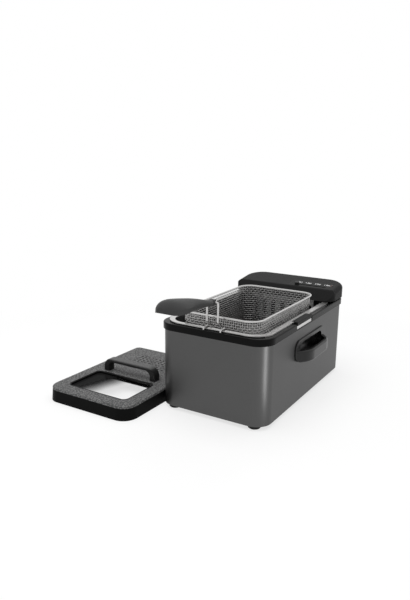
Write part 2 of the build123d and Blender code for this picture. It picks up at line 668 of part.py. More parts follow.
# Head floor with two guide tongues, holes for the element's legs and counterbored screw holes
FLOOR_FRONT = HEAD_FRONT + 8.5
LEG_SPOTS = [(-1.5 * TUBE_SPACING, LEG_Y), (1.5 * TUBE_SPACING, LEG_Y)]
CAPILLARY_SPOT = (TUBE_SPACING / 2, LEG_Y)
with BuildPart() as head_base:
    with BuildSketch(level(0, 0, HEAD_BASE)) as floor_plan:
        with Locations((0, (FLOOR_FRONT + HEAD_BACK - HEAD_WALL) / 2)):
            Rectangle(HEAD_W - 2 * HEAD_WALL, HEAD_BACK - HEAD_WALL - FLOOR_FRONT)
        fillet(floor_plan.vertices().group_by(Axis.Y)[-1], HEAD_REAR_R - HEAD_WALL)
        fillet(floor_plan.vertices().group_by(Axis.Y)[0], HEAD_FRONT_R)
        with Locations(LEG_SPOTS):
            Circle(TUBE_RADIUS + 0.1, mode=Mode.SUBTRACT)
        with Locations(CAPILLARY_SPOT):
            Circle(1.2, mode=Mode.SUBTRACT)
        with Locations(HEAD_BOSS_SPOTS):
            Circle(1.7, mode=Mode.SUBTRACT)
    extrude(amount=HEAD_FLOOR)
    with BuildSketch(level(0, 0, HEAD_BASE)):
        with Locations(HEAD_BOSS_SPOTS):
            Circle(3.4)
    extrude(amount=2.4, mode=Mode.SUBTRACT)
    with BuildSketch(level(0, 0, HEAD_BASE)):
        with Locations((-TONGUE_X, TONGUE_Y), (TONGUE_X, TONGUE_Y)):
            Rectangle(TONGUE_W, TONGUE_T)
    extrude(amount=-TONGUE_DROP)
    chamfer(head_base.edges().group_by(Axis.Z)[0], 1.2)
head_base.part.label = "head_base"
export_step(head_base.part, "parts/head_base.step")

# Screws that hold the head's floor to its cover
with BuildPart() as head_screws:
    with BuildSketch(level(0, 0, HEAD_BASE + 2.4)):
        with Locations(HEAD_BOSS_SPOTS):
            Circle(3.2)
    extrude(amount=-2)
    with BuildSketch(level(0, 0, HEAD_BASE + 2.4)):
        with Locations(HEAD_BOSS_SPOTS):
            Circle(1.5)
    extrude(amount=11)
head_screws.part.label = "head_screws"
export_step(head_screws.part, "parts/head_screws.step")

# Panel insert with the thermostat slot and two lamp holes
with BuildPart() as control_panel:
    with BuildSketch(PANEL_PLANE.offset(-PANEL_T)):
        RectangleRounded(PANEL_W, PANEL_L, 4)
        with Locations((0, -SLOT_FORWARD)):
            SlotOverall(SLOT_LEN, SLOT_W, mode=Mode.SUBTRACT)
        with Locations((PANEL_W / 2 - 8, 4)):
            with GridLocations(1, LAMP_SPACING, 1, 2):
                Circle(LAMP_RADIUS, mode=Mode.SUBTRACT)
    extrude(amount=PANEL_T)
control_panel.part.label = "control_panel"
export_step(control_panel.part, "parts/control_panel.step")

# Two pilot lamp lenses standing in the panel's holes
with BuildPart() as pilot_lamps:
    with BuildSketch(PANEL_PLANE.offset(-3 * HEAD_WALL)):
        with Locations((PANEL_W / 2 - 8, 4)):
            with GridLocations(1, LAMP_SPACING, 1, 2):
                Circle(LAMP_RADIUS)
    extrude(amount=3 * HEAD_WALL + 0.4)
pilot_lamps.part.label = "pilot_lamps"
export_step(pilot_lamps.part, "parts/pilot_lamps.step")

# Thermostat slider: a ridged cap above the panel on a thin stem
with BuildPart() as thermostat_slider:
    with BuildSketch(PANEL_PLANE.offset(0.4)):
        with Locations((-SLIDER_TRAVEL / 2, -SLOT_FORWARD)):
            RectangleRounded(SLIDER_W, SLIDER_L, 2)
    extrude(amount=SLIDER_H)
    fillet(thermostat_slider.faces().sort_by(Axis.Z)[-1].edges(), 1)
    with BuildSketch(PANEL_PLANE.offset(-8)):
        with Locations((-SLIDER_TRAVEL / 2, -SLOT_FORWARD)):
            Rectangle(SLIDER_STEM, SLOT_W - 1)
    extrude(amount=8.4)
thermostat_slider.part.label = "thermostat_slider"
export_step(thermostat_slider.part, "parts/thermostat_slider.step")

# Thermostat body on the head's floor, below the slider
FLOOR_TOP = HEAD_BASE + HEAD_FLOOR
with BuildPart() as thermostat:
    with BuildSketch(level(PANEL_X - 15, PANEL_Y - SLOT_FORWARD, FLOOR_TOP)):
        RectangleRounded(40, 20, 3)
    extrude(amount=7)
    with BuildSketch(level(PANEL_X - 15, PANEL_Y - SLOT_FORWARD + 16, FLOOR_TOP)):
        with GridLocations(12, 1, 2, 1):
            Rectangle(6.3, 12.2)
    extrude(amount=0.8)
thermostat.part.label = "thermostat"
export_step(thermostat.part, "parts/thermostat.step")

# Safety cut-out with the reset plunger's seat, on the floor behind the reset button
with BuildPart() as thermal_cutout:
    with BuildSketch(level(BUTTON_X, HEAD_BACK - 26, FLOOR_TOP)):
        RectangleRounded(26, 24, 2)
    extrude(amount=15)
thermal_cutout.part.label = "thermal_cutout"
export_step(thermal_cutout.part, "parts/thermal_cutout.step")

# Terminal block on the floor beside the cord bush
with BuildPart() as terminal_block:
    with BuildSketch(level(GLAND_X, HEAD_MID, FLOOR_TOP)):
        Rectangle(34, 18)
    extrude(amount=12)
    with BuildSketch(level(GLAND_X, HEAD_MID, FLOOR_TOP + 12)):
        with GridLocations(11, 9, 3, 2):
            Rectangle(5, 5)
    extrude(amount=-4, mode=Mode.SUBTRACT)
terminal_block.part.label = "terminal_block"
export_step(terminal_block.part, "parts/terminal_block.step")

# Reset button in the head's back
with BuildPart() as reset_button:
    with BuildSketch(facing_front(BUTTON_X, HEAD_BACK + BUTTON_OUT, REAR_Z)):
        Circle(BUTTON_RADIUS)
    extrude(amount=BUTTON_OUT + HEAD_WALL + 4)
    chamfer(reset_button.edges().group_by(Axis.Y)[-1], 0.8)
reset_button.part.label = "reset_button"
export_step(reset_button.part, "parts/reset_button.step")

# Cord bush: flanged outside and inside the head's back wall, with a round bore
with BuildPart() as cord_gland:
    with BuildSketch(facing_right(GLAND_X, HEAD_BACK, REAR_Z)):
        with BuildLine():
            Polyline(
                (GLAND_OUT, GLAND_BORE),
                (GLAND_OUT, GLAND_RADIUS - 2),
                (3, GLAND_RADIUS),
                (0, GLAND_RADIUS),
                (0, GLAND_RADIUS - 2),
                (-HEAD_WALL, GLAND_RADIUS - 2),
                (-HEAD_WALL, GLAND_RADIUS - 0.5),
                (-HEAD_WALL - 3, GLAND_RADIUS - 1),
                (-HEAD_WALL - 3, GLAND_BORE),
                close=True,
            )
        make_face()
    revolve(axis=Axis(place(GLAND_X, HEAD_BACK, REAR_Z), (0, 1, 0)))
cord_gland.part.label = "cord_gland"
export_step(cord_gland.part, "parts/cord_gland.step")

# Heating element: one tube, down from the head, forward and back in three hairpins, and up again
ELEMENT_END = BOWL_FRONT + ELEMENT_FRONT
INNER_TURN = HEAD_FRONT - 50
LEG_TOP = FLOOR_TOP + 4
element_route = [
    (-1.5 * TUBE_SPACING, LEG_Y, LEG_TOP),
    (-1.5 * TUBE_SPACING, LEG_Y, ELEMENT_Z),
    (-1.5 * TUBE_SPACING, ELEMENT_END, ELEMENT_Z),
    (-0.5 * TUBE_SPACING, ELEMENT_END, ELEMENT_Z),
    (-0.5 * TUBE_SPACING, INNER_TURN, ELEMENT_Z),
    (0.5 * TUBE_SPACING, INNER_TURN, ELEMENT_Z),
    (0.5 * TUBE_SPACING, ELEMENT_END, ELEMENT_Z),
    (1.5 * TUBE_SPACING, ELEMENT_END, ELEMENT_Z),
    (1.5 * TUBE_SPACING, LEG_Y, ELEMENT_Z),
    (1.5 * TUBE_SPACING, LEG_Y, LEG_TOP),
]
with BuildPart() as heating_element:
    with BuildLine() as element_path:
        FilletPolyline([place(*point) for point in element_route], radius=TUBE_BEND)
    with BuildSketch(Plane(place(*element_route[0]), x_dir=(1, 0, 0), z_dir=(0, 0, -1))):
        Circle(TUBE_RADIUS)
    sweep(path=element_path.wires()[0])
heating_element.part.label = "heating_element"
export_step(heating_element.part, "parts/heating_element.step")

# Slotted steel guard in front of the element's legs, with a flange under the head's floor
GUARD_Y = FLOOR_FRONT + 1
LEG_IN_FLANGE = LEG_Y - GUARD_Y - GUARD_FLANGE / 2
with BuildPart() as element_guard:
    with BuildSketch(facing_front(0, GUARD_Y + GUARD_T, HEAD_BASE - GUARD_DROP / 2)):
        RectangleRounded(GUARD_W, GUARD_DROP, 3)
        with GridLocations(22, 44, 7, 2):
            SlotOverall(34, 9, rotation=90, mode=Mode.SUBTRACT)
    extrude(amount=GUARD_T)
    with BuildSketch(level(0, GUARD_Y + GUARD_FLANGE / 2, HEAD_BASE - GUARD_T)):
        Rectangle(GUARD_W, GUARD_FLANGE)
        with Locations((-1.5 * TUBE_SPACING, LEG_IN_FLANGE), (1.5 * TUBE_SPACING, LEG_IN_FLANGE)):
            Circle(TUBE_RADIUS + 0.4, mode=Mode.SUBTRACT)
        with Locations((TUBE_SPACING / 2, LEG_IN_FLANGE)):
            Circle(2, mode=Mode.SUBTRACT)
    extrude(amount=GUARD_T)
element_guard.part.label = "element_guard"
export_step(element_guard.part, "parts/element_guard.step")

# Thermostat bulb lying on the element, with its capillary running back up into the head
BULB_Z = ELEMENT_Z + TUBE_RADIUS + BULB_RADIUS
BULB_Y = INNER_TURN - 80
capillary_route = [
    (TUBE_SPACING / 2, BULB_Y + BULB_LEN / 2, BULB_Z),
    (TUBE_SPACING / 2, LEG_Y, BULB_Z),
    (TUBE_SPACING / 2, LEG_Y, LEG_TOP),
]
with BuildPart() as sensor_bulb:
    with BuildSketch(facing_front(TUBE_SPACING / 2, BULB_Y + BULB_LEN / 2, BULB_Z)):
        Circle(BULB_RADIUS)
    extrude(amount=BULB_LEN)
    fillet(sensor_bulb.edges().group_by(Axis.Y)[0], 2)
    with BuildLine() as capillary_path:
        FilletPolyline([place(*point) for point in capillary_route], radius=10)
    with BuildSketch(Plane(place(*capillary_route[0]), x_dir=(1, 0, 0), z_dir=(0, 1, 0))):
        Circle(1)
    sweep(path=capillary_path.wires()[0])
sensor_bulb.part.label = "sensor_bulb"
export_step(sensor_bulb.part, "parts/sensor_bulb.step")

# Two bands that hold the bulb on the element
CLIP_IN = 2 * (TUBE_RADIUS + BULB_RADIUS)
with BuildPart() as sensor_clips:
    for clip_y in (BULB_Y - 20, BULB_Y + 20):
        with BuildSketch(facing_front(TUBE_SPACING / 2, clip_y, ELEMENT_Z + BULB_RADIUS)):
            SlotOverall(CLIP_IN + 2, 2 * TUBE_RADIUS + 2, rotation=90)
            SlotOverall(CLIP_IN, 2 * TUBE_RADIUS, rotation=90, mode=Mode.SUBTRACT)
        extrude(amount=8)
sensor_clips.part.label = "sensor_clips"
export_step(sensor_clips.part, "parts/sensor_clips.step")


def wire_ring(z):
    """A closed round wire that follows the basket's plan at one height."""
    with BuildPart() as ring:
        with BuildLine() as ring_path:
            with BuildLine(level(BASKET_SHIFT, BASKET_MID, z)):
                half_w = BASKET_W / 2
                half_l = BASKET_L / 2
                Line((half_w, BASKET_R - half_l), (half_w, half_l - BASKET_R))
                RadiusArc(
                    (half_w, half_l - BASKET_R), (half_w - BASKET_R, half_l), -BASKET_R
                )
                Line((half_w - BASKET_R, half_l), (BASKET_R - half_w, half_l))
                RadiusArc(
                    (BASKET_R - half_w, half_l), (-half_w, half_l - BASKET_R), -BASKET_R
                )
                Line((-half_w, half_l - BASKET_R), (-half_w, BASKET_R - half_l))
                RadiusArc(
                    (-half_w, BASKET_R - half_l), (BASKET_R - half_w, -half_l), -BASKET_R
                )
                Line((BASKET_R - half_w, -half_l), (half_w - BASKET_R, -half_l))
                RadiusArc(
                    (half_w - BASKET_R, -half_l), (half_w, BASKET_R - half_l), -BASKET_R
                )
        start = place(BASKET_SHIFT + BASKET_W / 2, BASKET_MID, z)
        with BuildSketch(Plane(start, x_dir=(1, 0, 0), z_dir=(0, 1, 0))):
            Circle(WIRE_RADIUS)
        sweep(path=ring_path.wires()[0])
    return ring


basket_rim = wire_ring(RIM_Z)
basket_rim.part.label = "basket_rim"
export_step(basket_rim.part, "parts/basket_rim.step")

basket_foot_wire = wire_ring(NET_BASE - WIRE_RADIUS)
basket_foot_wire.part.label = "basket_foot_wire"
export_step(basket_foot_wire.part, "parts/basket_foot_wire.step")


def holes_along(length):
    """How many mesh openings fit along a length."""
    return int((length - NET_BAR) // NET_PITCH)


NET_END_LEN = NET_W - 2 * NET_R
NET_SIDE_LEN = NET_L - 2 * NET_R
NET_HOLE = NET_PITCH - NET_BAR
NET_ROWS = holes_along(BASKET_H)
NET_Z = NET_BASE + BASKET_H / 2


def end_net(back_face):
    """A flat mesh panel across the basket, given the place of its back face."""
    with BuildPart() as net:
        with BuildSketch(facing_front(BASKET_SHIFT, back_face, NET_Z)):
            Rectangle(NET_END_LEN, BASKET_H)
            with GridLocations(NET_PITCH, NET_PITCH, holes_along(NET_END_LEN), NET_ROWS):
                Rectangle(NET_HOLE, NET_HOLE, mode=Mode.SUBTRACT)
        extrude(amount=NET_T)
    return net


def side_net(left_face):
    """A flat mesh panel along the basket, given the place of its left face."""
    with BuildPart() as net:
        with BuildSketch(facing_right(left_face, BASKET_MID, NET_Z)):
            Rectangle(NET_SIDE_LEN, BASKET_H)
            with GridLocations(NET_PITCH, NET_PITCH, holes_along(NET_SIDE_LEN), NET_ROWS):
                Rectangle(NET_HOLE, NET_HOLE, mode=Mode.SUBTRACT)
        extrude(amount=NET_T)
    return net


net_front = end_net(BASKET_MID - NET_L / 2 + NET_T)
net_front.part.label = "net_front"
export_step(net_front.part, "parts/net_front.step")

net_rear = end_net(BASKET_MID + NET_L / 2)
net_rear.part.label = "net_rear"
export_step(net_rear.part, "parts/net_rear.step")

net_left = side_net(BASKET_SHIFT - NET_W / 2)
net_left.part.label = "net_left"
export_step(net_left.part, "parts/net_left.step")

net_right = side_net(BASKET_SHIFT + NET_W / 2 - NET_T)
net_right.part.label = "net_right"
export_step(net_right.part, "parts/net_right.step")

# The four rounded corners of the mesh
with BuildPart() as net_corners:
    with BuildSketch(level(BASKET_SHIFT, BASKET_MID, NET_BASE)):
        RectangleRounded(NET_W, NET_L, NET_R)
        RectangleRounded(NET_W - 2 * NET_T, NET_L - 2 * NET_T, NET_R - NET_T, mode=Mode.SUBTRACT)
        Rectangle(NET_END_LEN, NET_L + 2, mode=Mode.SUBTRACT)
        Rectangle(NET_W + 2, NET_SIDE_LEN, mode=Mode.SUBTRACT)
    extrude(amount=BASKET_H)
net_corners.part.label = "net_corners"
export_step(net_corners.part, "parts/net_corners.step")

# The mesh floor inside the walls
with BuildPart() as net_floor:
    with BuildSketch(level(BASKET_SHIFT, BASKET_MID, NET_BASE)):
        RectangleRounded(NET_W - 2 * NET_T, NET_L - 2 * NET_T, NET_R - NET_T)
        with GridLocations(NET_PITCH, NET_PITCH, holes_along(NET_W - 8), holes_along(NET_L - 8)):
            Rectangle(NET_HOLE, NET_HOLE, mode=Mode.SUBTRACT)
    extrude(amount=NET_T)
net_floor.part.label = "net_floor"
export_step(net_floor.part, "parts/net_floor.step")

# Bent wire bracket on the front mesh: two legs that step out past the rim and a cross bar on which
# the grip turns
BRACKET_Y = BASKET_MID - NET_L / 2 - WIRE_RADIUS
left_leg = [
    (BASKET_SHIFT - BRACKET_SPAN / 2, BRACKET_Y, RIM_Z - BRACKET_LEG),
    (BASKET_SHIFT - BRACKET_SPAN / 2, BRACKET_Y, RIM_Z - JOG_LOW),
    (BASKET_SHIFT - BRACKET_SPAN / 2, PIVOT_Y, RIM_Z - JOG_HIGH),
    (BASKET_SHIFT - BRACKET_SPAN / 2, PIVOT_Y, PIVOT_Z),
]
right_leg = [(x + BRACKET_SPAN, y, z) for x, y, z in reversed(left_leg)]
bracket_route = left_leg + right_leg
with BuildPart() as handle_bracket:
    with BuildLine() as bracket_path:
        FilletPolyline([place(*point) for point in bracket_route], radius=BRACKET_BEND)
    with BuildSketch(Plane(place(*bracket_route[0]), x_dir=(1, 0, 0), z_dir=(0, 0, 1))):
        Circle(WIRE_RADIUS)
    sweep(path=bracket_path.wires()[0])
handle_bracket.part.label = "handle_bracket"
export_step(handle_bracket.part, "parts/handle_bracket.step")

# Drain hook: two wires on the front mesh that reach over the bowl's flange
HOOK_Y = BASKET_MID - NET_L / 2 - HOOK_RADIUS
HOOK_Z = FLANGE_TOP + REST_GAP + HOOK_RADIUS
with BuildPart() as drain_hook:
    for hook_x in (BASKET_SHIFT - HOOK_SPAN / 2, BASKET_SHIFT + HOOK_SPAN / 2):
        hook_route = [
            (hook_x, HOOK_Y, HOOK_Z - HOOK_LEG),
            (hook_x, HOOK_Y, HOOK_Z),
            (hook_x, HOOK_Y - HOOK_REACH, HOOK_Z),
            (hook_x, HOOK_Y - HOOK_REACH, HOOK_Z - HOOK_TIP),
        ]
        with BuildLine() as hook_path:
            FilletPolyline([place(*point) for point in hook_route], radius=3)
        with BuildSketch(Plane(place(*hook_route[0]), x_dir=(1, 0, 0), z_dir=(0, 0, 1))):
            Circle(HOOK_RADIUS)
        sweep(path=hook_path.wires()[0])
drain_hook.part.label = "drain_hook"
export_step(drain_hook.part, "parts/drain_hook.step")

# Grip: a domed leaf lofted through upright sections, from a hub on the bracket's cross bar
tilt = radians(GRIP_TILT)
pivot = place(BASKET_SHIFT, PIVOT_Y, PIVOT_Z)
forward = Vector(0, -cos(tilt), sin(tilt))
with BuildPart() as basket_grip:
    for share, half_width, under, edge, crown in GRIP_SECTIONS:
        station = pivot + forward * (share * GRIP_LEN)
        with BuildSketch(Plane(station, x_dir=(1, 0, 0), z_dir=forward)):
            with BuildLine():
                Polyline(
                    (half_width, edge), (half_width, under), (-half_width, under), (-half_width, edge)
                )
                ThreePointArc((-half_width, edge), (0, crown), (half_width, edge))
            make_face()
    loft()
    with BuildSketch(facing_right(BASKET_SHIFT - HUB_W / 2, PIVOT_Y, PIVOT_Z)):
        Circle(HUB_RADIUS)
    extrude(amount=HUB_W)
    with BuildSketch(facing_right(BASKET_SHIFT - 2 * HUB_W, PIVOT_Y, PIVOT_Z)):
        Circle(WIRE_RADIUS + PIVOT_PLAY)
    extrude(amount=4 * HUB_W, mode=Mode.SUBTRACT)
basket_grip.part.label = "basket_grip"
export_step(basket_grip.part, "parts/basket_grip.step")

def lid_plan(inset):
    """The lid's outline moved in by a wall: round front corners and tight rear ones."""
    width = LID_W - 2 * inset
    length = LID_L - 2 * inset
    RectangleRounded(width, length, LID_R - inset)
    with Locations((0, length / 4)):
        RectangleRounded(width, length / 2, LID_REAR_R - inset)


# Lid skirt: a slightly flared frame with an inner ledge under the top panel
with BuildPart() as lid_skirt:
    with BuildSketch(level(LID_X, -LID_AHEAD, 0)):
        lid_plan(-LID_FLARE)
    with BuildSketch(level(LID_X, -LID_AHEAD, LID_TOP_Z)):
        lid_plan(0)
    loft()
    with BuildSketch(level(LID_X, -LID_AHEAD, -1)):
        lid_plan(LID_WALL)
    extrude(amount=LID_TOP_Z - 2, mode=Mode.SUBTRACT)
    with BuildSketch(level(LID_X, -LID_AHEAD, 0)):
        lid_plan(LID_LEDGE)
    extrude(amount=LID_H, mode=Mode.SUBTRACT)
lid_skirt.part.label = "lid_skirt"
export_step(lid_skirt.part, "parts/lid_skirt.step")

# Grained top panel with a window opening, a vent opening and two handle holes
ARCH_SPOTS = [(-ARCH_W / 2 + ARCH_LEG / 2, ARCH_Y + LID_AHEAD), (ARCH_W / 2 - ARCH_LEG / 2, ARCH_Y + LID_AHEAD)]
with BuildPart() as lid_top:
    with BuildSketch(level(LID_X, -LID_AHEAD, LID_TOP_Z)):
        lid_plan(0)
    extrude(amount=LID_TOP_T)
    fillet(lid_top.faces().sort_by(Axis.Z)[-1].edges(), LID_EDGE_R)
    with BuildSketch(level(LID_X, -LID_AHEAD, LID_TOP_Z)):
        with Locations((0, -WINDOW_AHEAD)):
            RectangleRounded(WINDOW_W + 2 * BEZEL, WINDOW_L + 2 * BEZEL, WINDOW_R + BEZEL)
        with Locations((0, VENT_BEHIND)):
            RectangleRounded(VENT_W, VENT_L, 6)
        with Locations(ARCH_SPOTS):
            Circle(2.2)
    extrude(amount=LID_TOP_T, mode=Mode.SUBTRACT)
lid_top.part.label = "lid_top"
export_step(lid_top.part, "parts/lid_top.step")

# Window bezel, glass and the frame that clamps the glass from below
with BuildPart() as window_bezel:
    with BuildSketch(level(LID_X, WINDOW_Y, LID_TOP_Z)):
        RectangleRounded(WINDOW_W + 2 * BEZEL, WINDOW_L + 2 * BEZEL, WINDOW_R + BEZEL)
        RectangleRounded(WINDOW_W, WINDOW_L, WINDOW_R, mode=Mode.SUBTRACT)
    extrude(amount=LID_TOP_T + BEZEL_PROUD)
    chamfer(window_bezel.faces().sort_by(Axis.Z)[-1].inner_wires()[0].edges(), 1.5)
window_bezel.part.label = "window_bezel"
export_step(window_bezel.part, "parts/window_bezel.step")

GLASS_W = WINDOW_W + 2 * GLASS_LAP
GLASS_L = WINDOW_L + 2 * GLASS_LAP
with BuildPart() as window_glass:
    with BuildSketch(level(LID_X, WINDOW_Y, LID_TOP_Z)):
        RectangleRounded(GLASS_W, GLASS_L, WINDOW_R)
    extrude(amount=-GLASS_T)
window_glass.part.label = "window_glass"
export_step(window_glass.part, "parts/window_glass.step")

with BuildPart() as glass_retainer:
    with BuildSketch(level(LID_X, WINDOW_Y, LID_TOP_Z - GLASS_T - 3)):
        RectangleRounded(GLASS_W + 2 * RETAINER_WALL, GLASS_L + 2 * RETAINER_WALL, WINDOW_R + RETAINER_WALL)
        RectangleRounded(WINDOW_W, WINDOW_L, WINDOW_R, mode=Mode.SUBTRACT)
    extrude(amount=GLASS_T + 3)
    with BuildSketch(level(LID_X, WINDOW_Y, LID_TOP_Z - GLASS_T)):
        RectangleRounded(GLASS_W, GLASS_L, WINDOW_R)
    extrude(amount=GLASS_T, mode=Mode.SUBTRACT)
glass_retainer.part.label = "glass_retainer"
export_step(glass_retainer.part, "parts/glass_retainer.step")

# Arched lid handle with room for the fingers, and the screws that hold it from below
with BuildPart() as lid_handle:
    with BuildSketch(facing_front(LID_X, ARCH_Y + ARCH_T / 2, LID_H)):
        with BuildLine():
            outside = FilletPolyline(
                (-ARCH_W / 2, 0), (-ARCH_W / 2, ARCH_H), (ARCH_W / 2, ARCH_H), (ARCH_W / 2, 0), radius=ARCH_R
            )
            Line(outside @ 0, outside @ 1)
        make_face()
        with BuildLine():
            inside = FilletPolyline(
                (-ARCH_W / 2 + ARCH_LEG, 0),
                (-ARCH_W / 2 + ARCH_LEG, ARCH_H - ARCH_BAR),
                (ARCH_W / 2 - ARCH_LEG, ARCH_H - ARCH_BAR),
                (ARCH_W / 2 - ARCH_LEG, 0),
                radius=ARCH_R - ARCH_BAR,
            )
            Line(inside @ 0, inside @ 1)
        make_face(mode=Mode.SUBTRACT)
    extrude(amount=ARCH_T)
    fillet(lid_handle.faces().sort_by(Axis.Y)[0].edges().filter_by(lambda e: e.center().Z > LID_H + 1), 2)
    fillet(lid_handle.faces().sort_by(Axis.Y)[-1].edges().filter_by(lambda e: e.center().Z > LID_H + 1), 2)
    with BuildSketch(level(LID_X, -LID_AHEAD, LID_H)):
        with Locations(ARCH_SPOTS):
            Circle(1.75)
    extrude(amount=10, mode=Mode.SUBTRACT)
lid_handle.part.label = "lid_handle"
export_step(lid_handle.part, "parts/lid_handle.step")

with BuildPart() as lid_screws:
    with BuildSketch(level(LID_X, -LID_AHEAD, LID_TOP_Z)):
        with Locations(ARCH_SPOTS):
            Circle(4)
    extrude(amount=-2.5)
    with BuildSketch(level(LID_X, -LID_AHEAD, LID_TOP_Z)):
        with Locations(ARCH_SPOTS):
            Circle(1.75)
    extrude(amount=LID_TOP_T + 10)
lid_screws.part.label = "lid_screws"
export_step(lid_screws.part, "parts/lid_screws.step")

# Perforated vent insert over the odour filter, the filter pad and the frame that holds it
with BuildPart() as vent_grille:
    with BuildSketch(level(LID_X, VENT_Y, LID_TOP_Z)):
        RectangleRounded(VENT_W, VENT_L, 6)
        with GridLocations(VENT_PITCH, VENT_PITCH, VENT_COLUMNS, VENT_ROWS):
            RegularPolygon(VENT_HOLE, 6, mode=Mode.SUBTRACT)
    extrude(amount=LID_TOP_T)
vent_grille.part.label = "vent_grille"
export_step(vent_grille.part, "parts/vent_grille.step")

with BuildPart() as filter_pad:
    with BuildSketch(level(LID_X, VENT_Y, LID_TOP_Z)):
        RectangleRounded(VENT_W + 2, VENT_L + 2, 6)
    extrude(amount=-PAD_T)
filter_pad.part.label = "filter_pad"
export_step(filter_pad.part, "parts/filter_pad.step")

with BuildPart() as filter_frame:
    with BuildSketch(level(LID_X, VENT_Y, LID_TOP_Z - PAD_T - 2)):
        RectangleRounded(VENT_W + 7, VENT_L + 7, 8)
    extrude(amount=PAD_T + 2)
    with BuildSketch(level(LID_X, VENT_Y, LID_TOP_Z - PAD_T)):
        RectangleRounded(VENT_W + 2, VENT_L + 2, 6)
    extrude(amount=PAD_T, mode=Mode.SUBTRACT)
    with BuildSketch(level(LID_X, VENT_Y, LID_TOP_Z - PAD_T - 2)):
        with GridLocations(12, 1, 8, 1):
            SlotOverall(VENT_L - 10, 6, rotation=90)
    extrude(amount=2, mode=Mode.SUBTRACT)
filter_frame.part.label = "filter_frame"
export_step(filter_frame.part, "parts/filter_frame.step")
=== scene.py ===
"""Looks for a household deep fryer: woven basket, printed scale, finishes, studio and camera.

Laid out as an add-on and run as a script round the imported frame. All lengths are metres.
"""
import math
from typing import NamedTuple

import bpy
import numpy as np
from mathutils import Matrix, Vector


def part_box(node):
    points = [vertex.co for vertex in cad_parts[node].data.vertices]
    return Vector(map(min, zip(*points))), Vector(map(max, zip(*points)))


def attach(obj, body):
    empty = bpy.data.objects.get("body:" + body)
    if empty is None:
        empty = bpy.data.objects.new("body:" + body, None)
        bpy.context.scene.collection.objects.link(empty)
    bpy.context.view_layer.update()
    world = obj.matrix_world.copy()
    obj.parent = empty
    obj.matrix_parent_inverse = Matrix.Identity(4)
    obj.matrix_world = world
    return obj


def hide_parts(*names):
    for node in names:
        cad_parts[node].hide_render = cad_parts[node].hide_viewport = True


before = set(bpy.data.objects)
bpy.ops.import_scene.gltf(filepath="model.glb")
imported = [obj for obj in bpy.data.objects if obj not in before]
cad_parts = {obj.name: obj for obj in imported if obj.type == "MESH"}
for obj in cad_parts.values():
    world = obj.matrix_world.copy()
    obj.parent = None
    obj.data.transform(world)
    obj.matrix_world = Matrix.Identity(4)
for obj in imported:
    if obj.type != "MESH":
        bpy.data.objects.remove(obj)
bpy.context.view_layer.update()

bl_info = {
    "name": "Deep fryer looks",
    "version": (1, 0, 0),
    "blender": (4, 5, 0),
    "location": "View3D > Sidebar > Fryer",
    "description": "Finishes, basket mesh, printed scale and studio for a deep fryer",
    "category": "Object",
}

# The head's sloped top, which the printed scale follows
HEAD_SLOPE = math.radians(7.0)
SCALE_NUMBERS = ("130", "150", "170", "190")

# Pieces of bare wire, which mirror the overhead light
BRIGHT_WIRES = (
    "basket_rim",
    "basket_foot_wire",
    "handle_bracket",
    "drain_hook",
    "basket_mesh_uprights",
    "basket_mesh_rings",
    "basket_mesh_floor",
)

# The floor disc: the number of its sides, and its rings' radii
FLOOR_SIDES = 96
FLOOR_RINGS = (0.5, 1.2, 3.0, 8.0)

# Stretches of noise: even, drawn into level lines, and drawn into lines from front to back
EVEN = (1.0, 1.0, 1.0)
LEVEL_LINES = (1.0, 1.0, 60.0)
LONG_LINES = (60.0, 1.0, 1.0)

# Colour sockets of a Mix node, which share their names with its other sockets
MIX_FACTOR = 0
MIX_FIRST = 6
MIX_SECOND = 7
MIX_RESULT = 2


class Wire:
    """A shader socket that can be used in sums: each operation adds one Math node."""

    def __init__(self, finish, socket):
        self.finish = finish
        self.socket = socket

    def __add__(self, other):
        return self.finish.maths("ADD", self, other)

    def __radd__(self, other):
        return self.finish.maths("ADD", other, self)

    def __sub__(self, other):
        return self.finish.maths("SUBTRACT", self, other)

    def __rsub__(self, other):
        return self.finish.maths("SUBTRACT", other, self)

    def __mul__(self, other):
        return self.finish.maths("MULTIPLY", self, other)

    def __rmul__(self, other):
        return self.finish.maths("MULTIPLY", other, self)

    def __truediv__(self, other):
        return self.finish.maths("DIVIDE", self, other)

    def __rtruediv__(self, other):
        return self.finish.maths("DIVIDE", other, self)


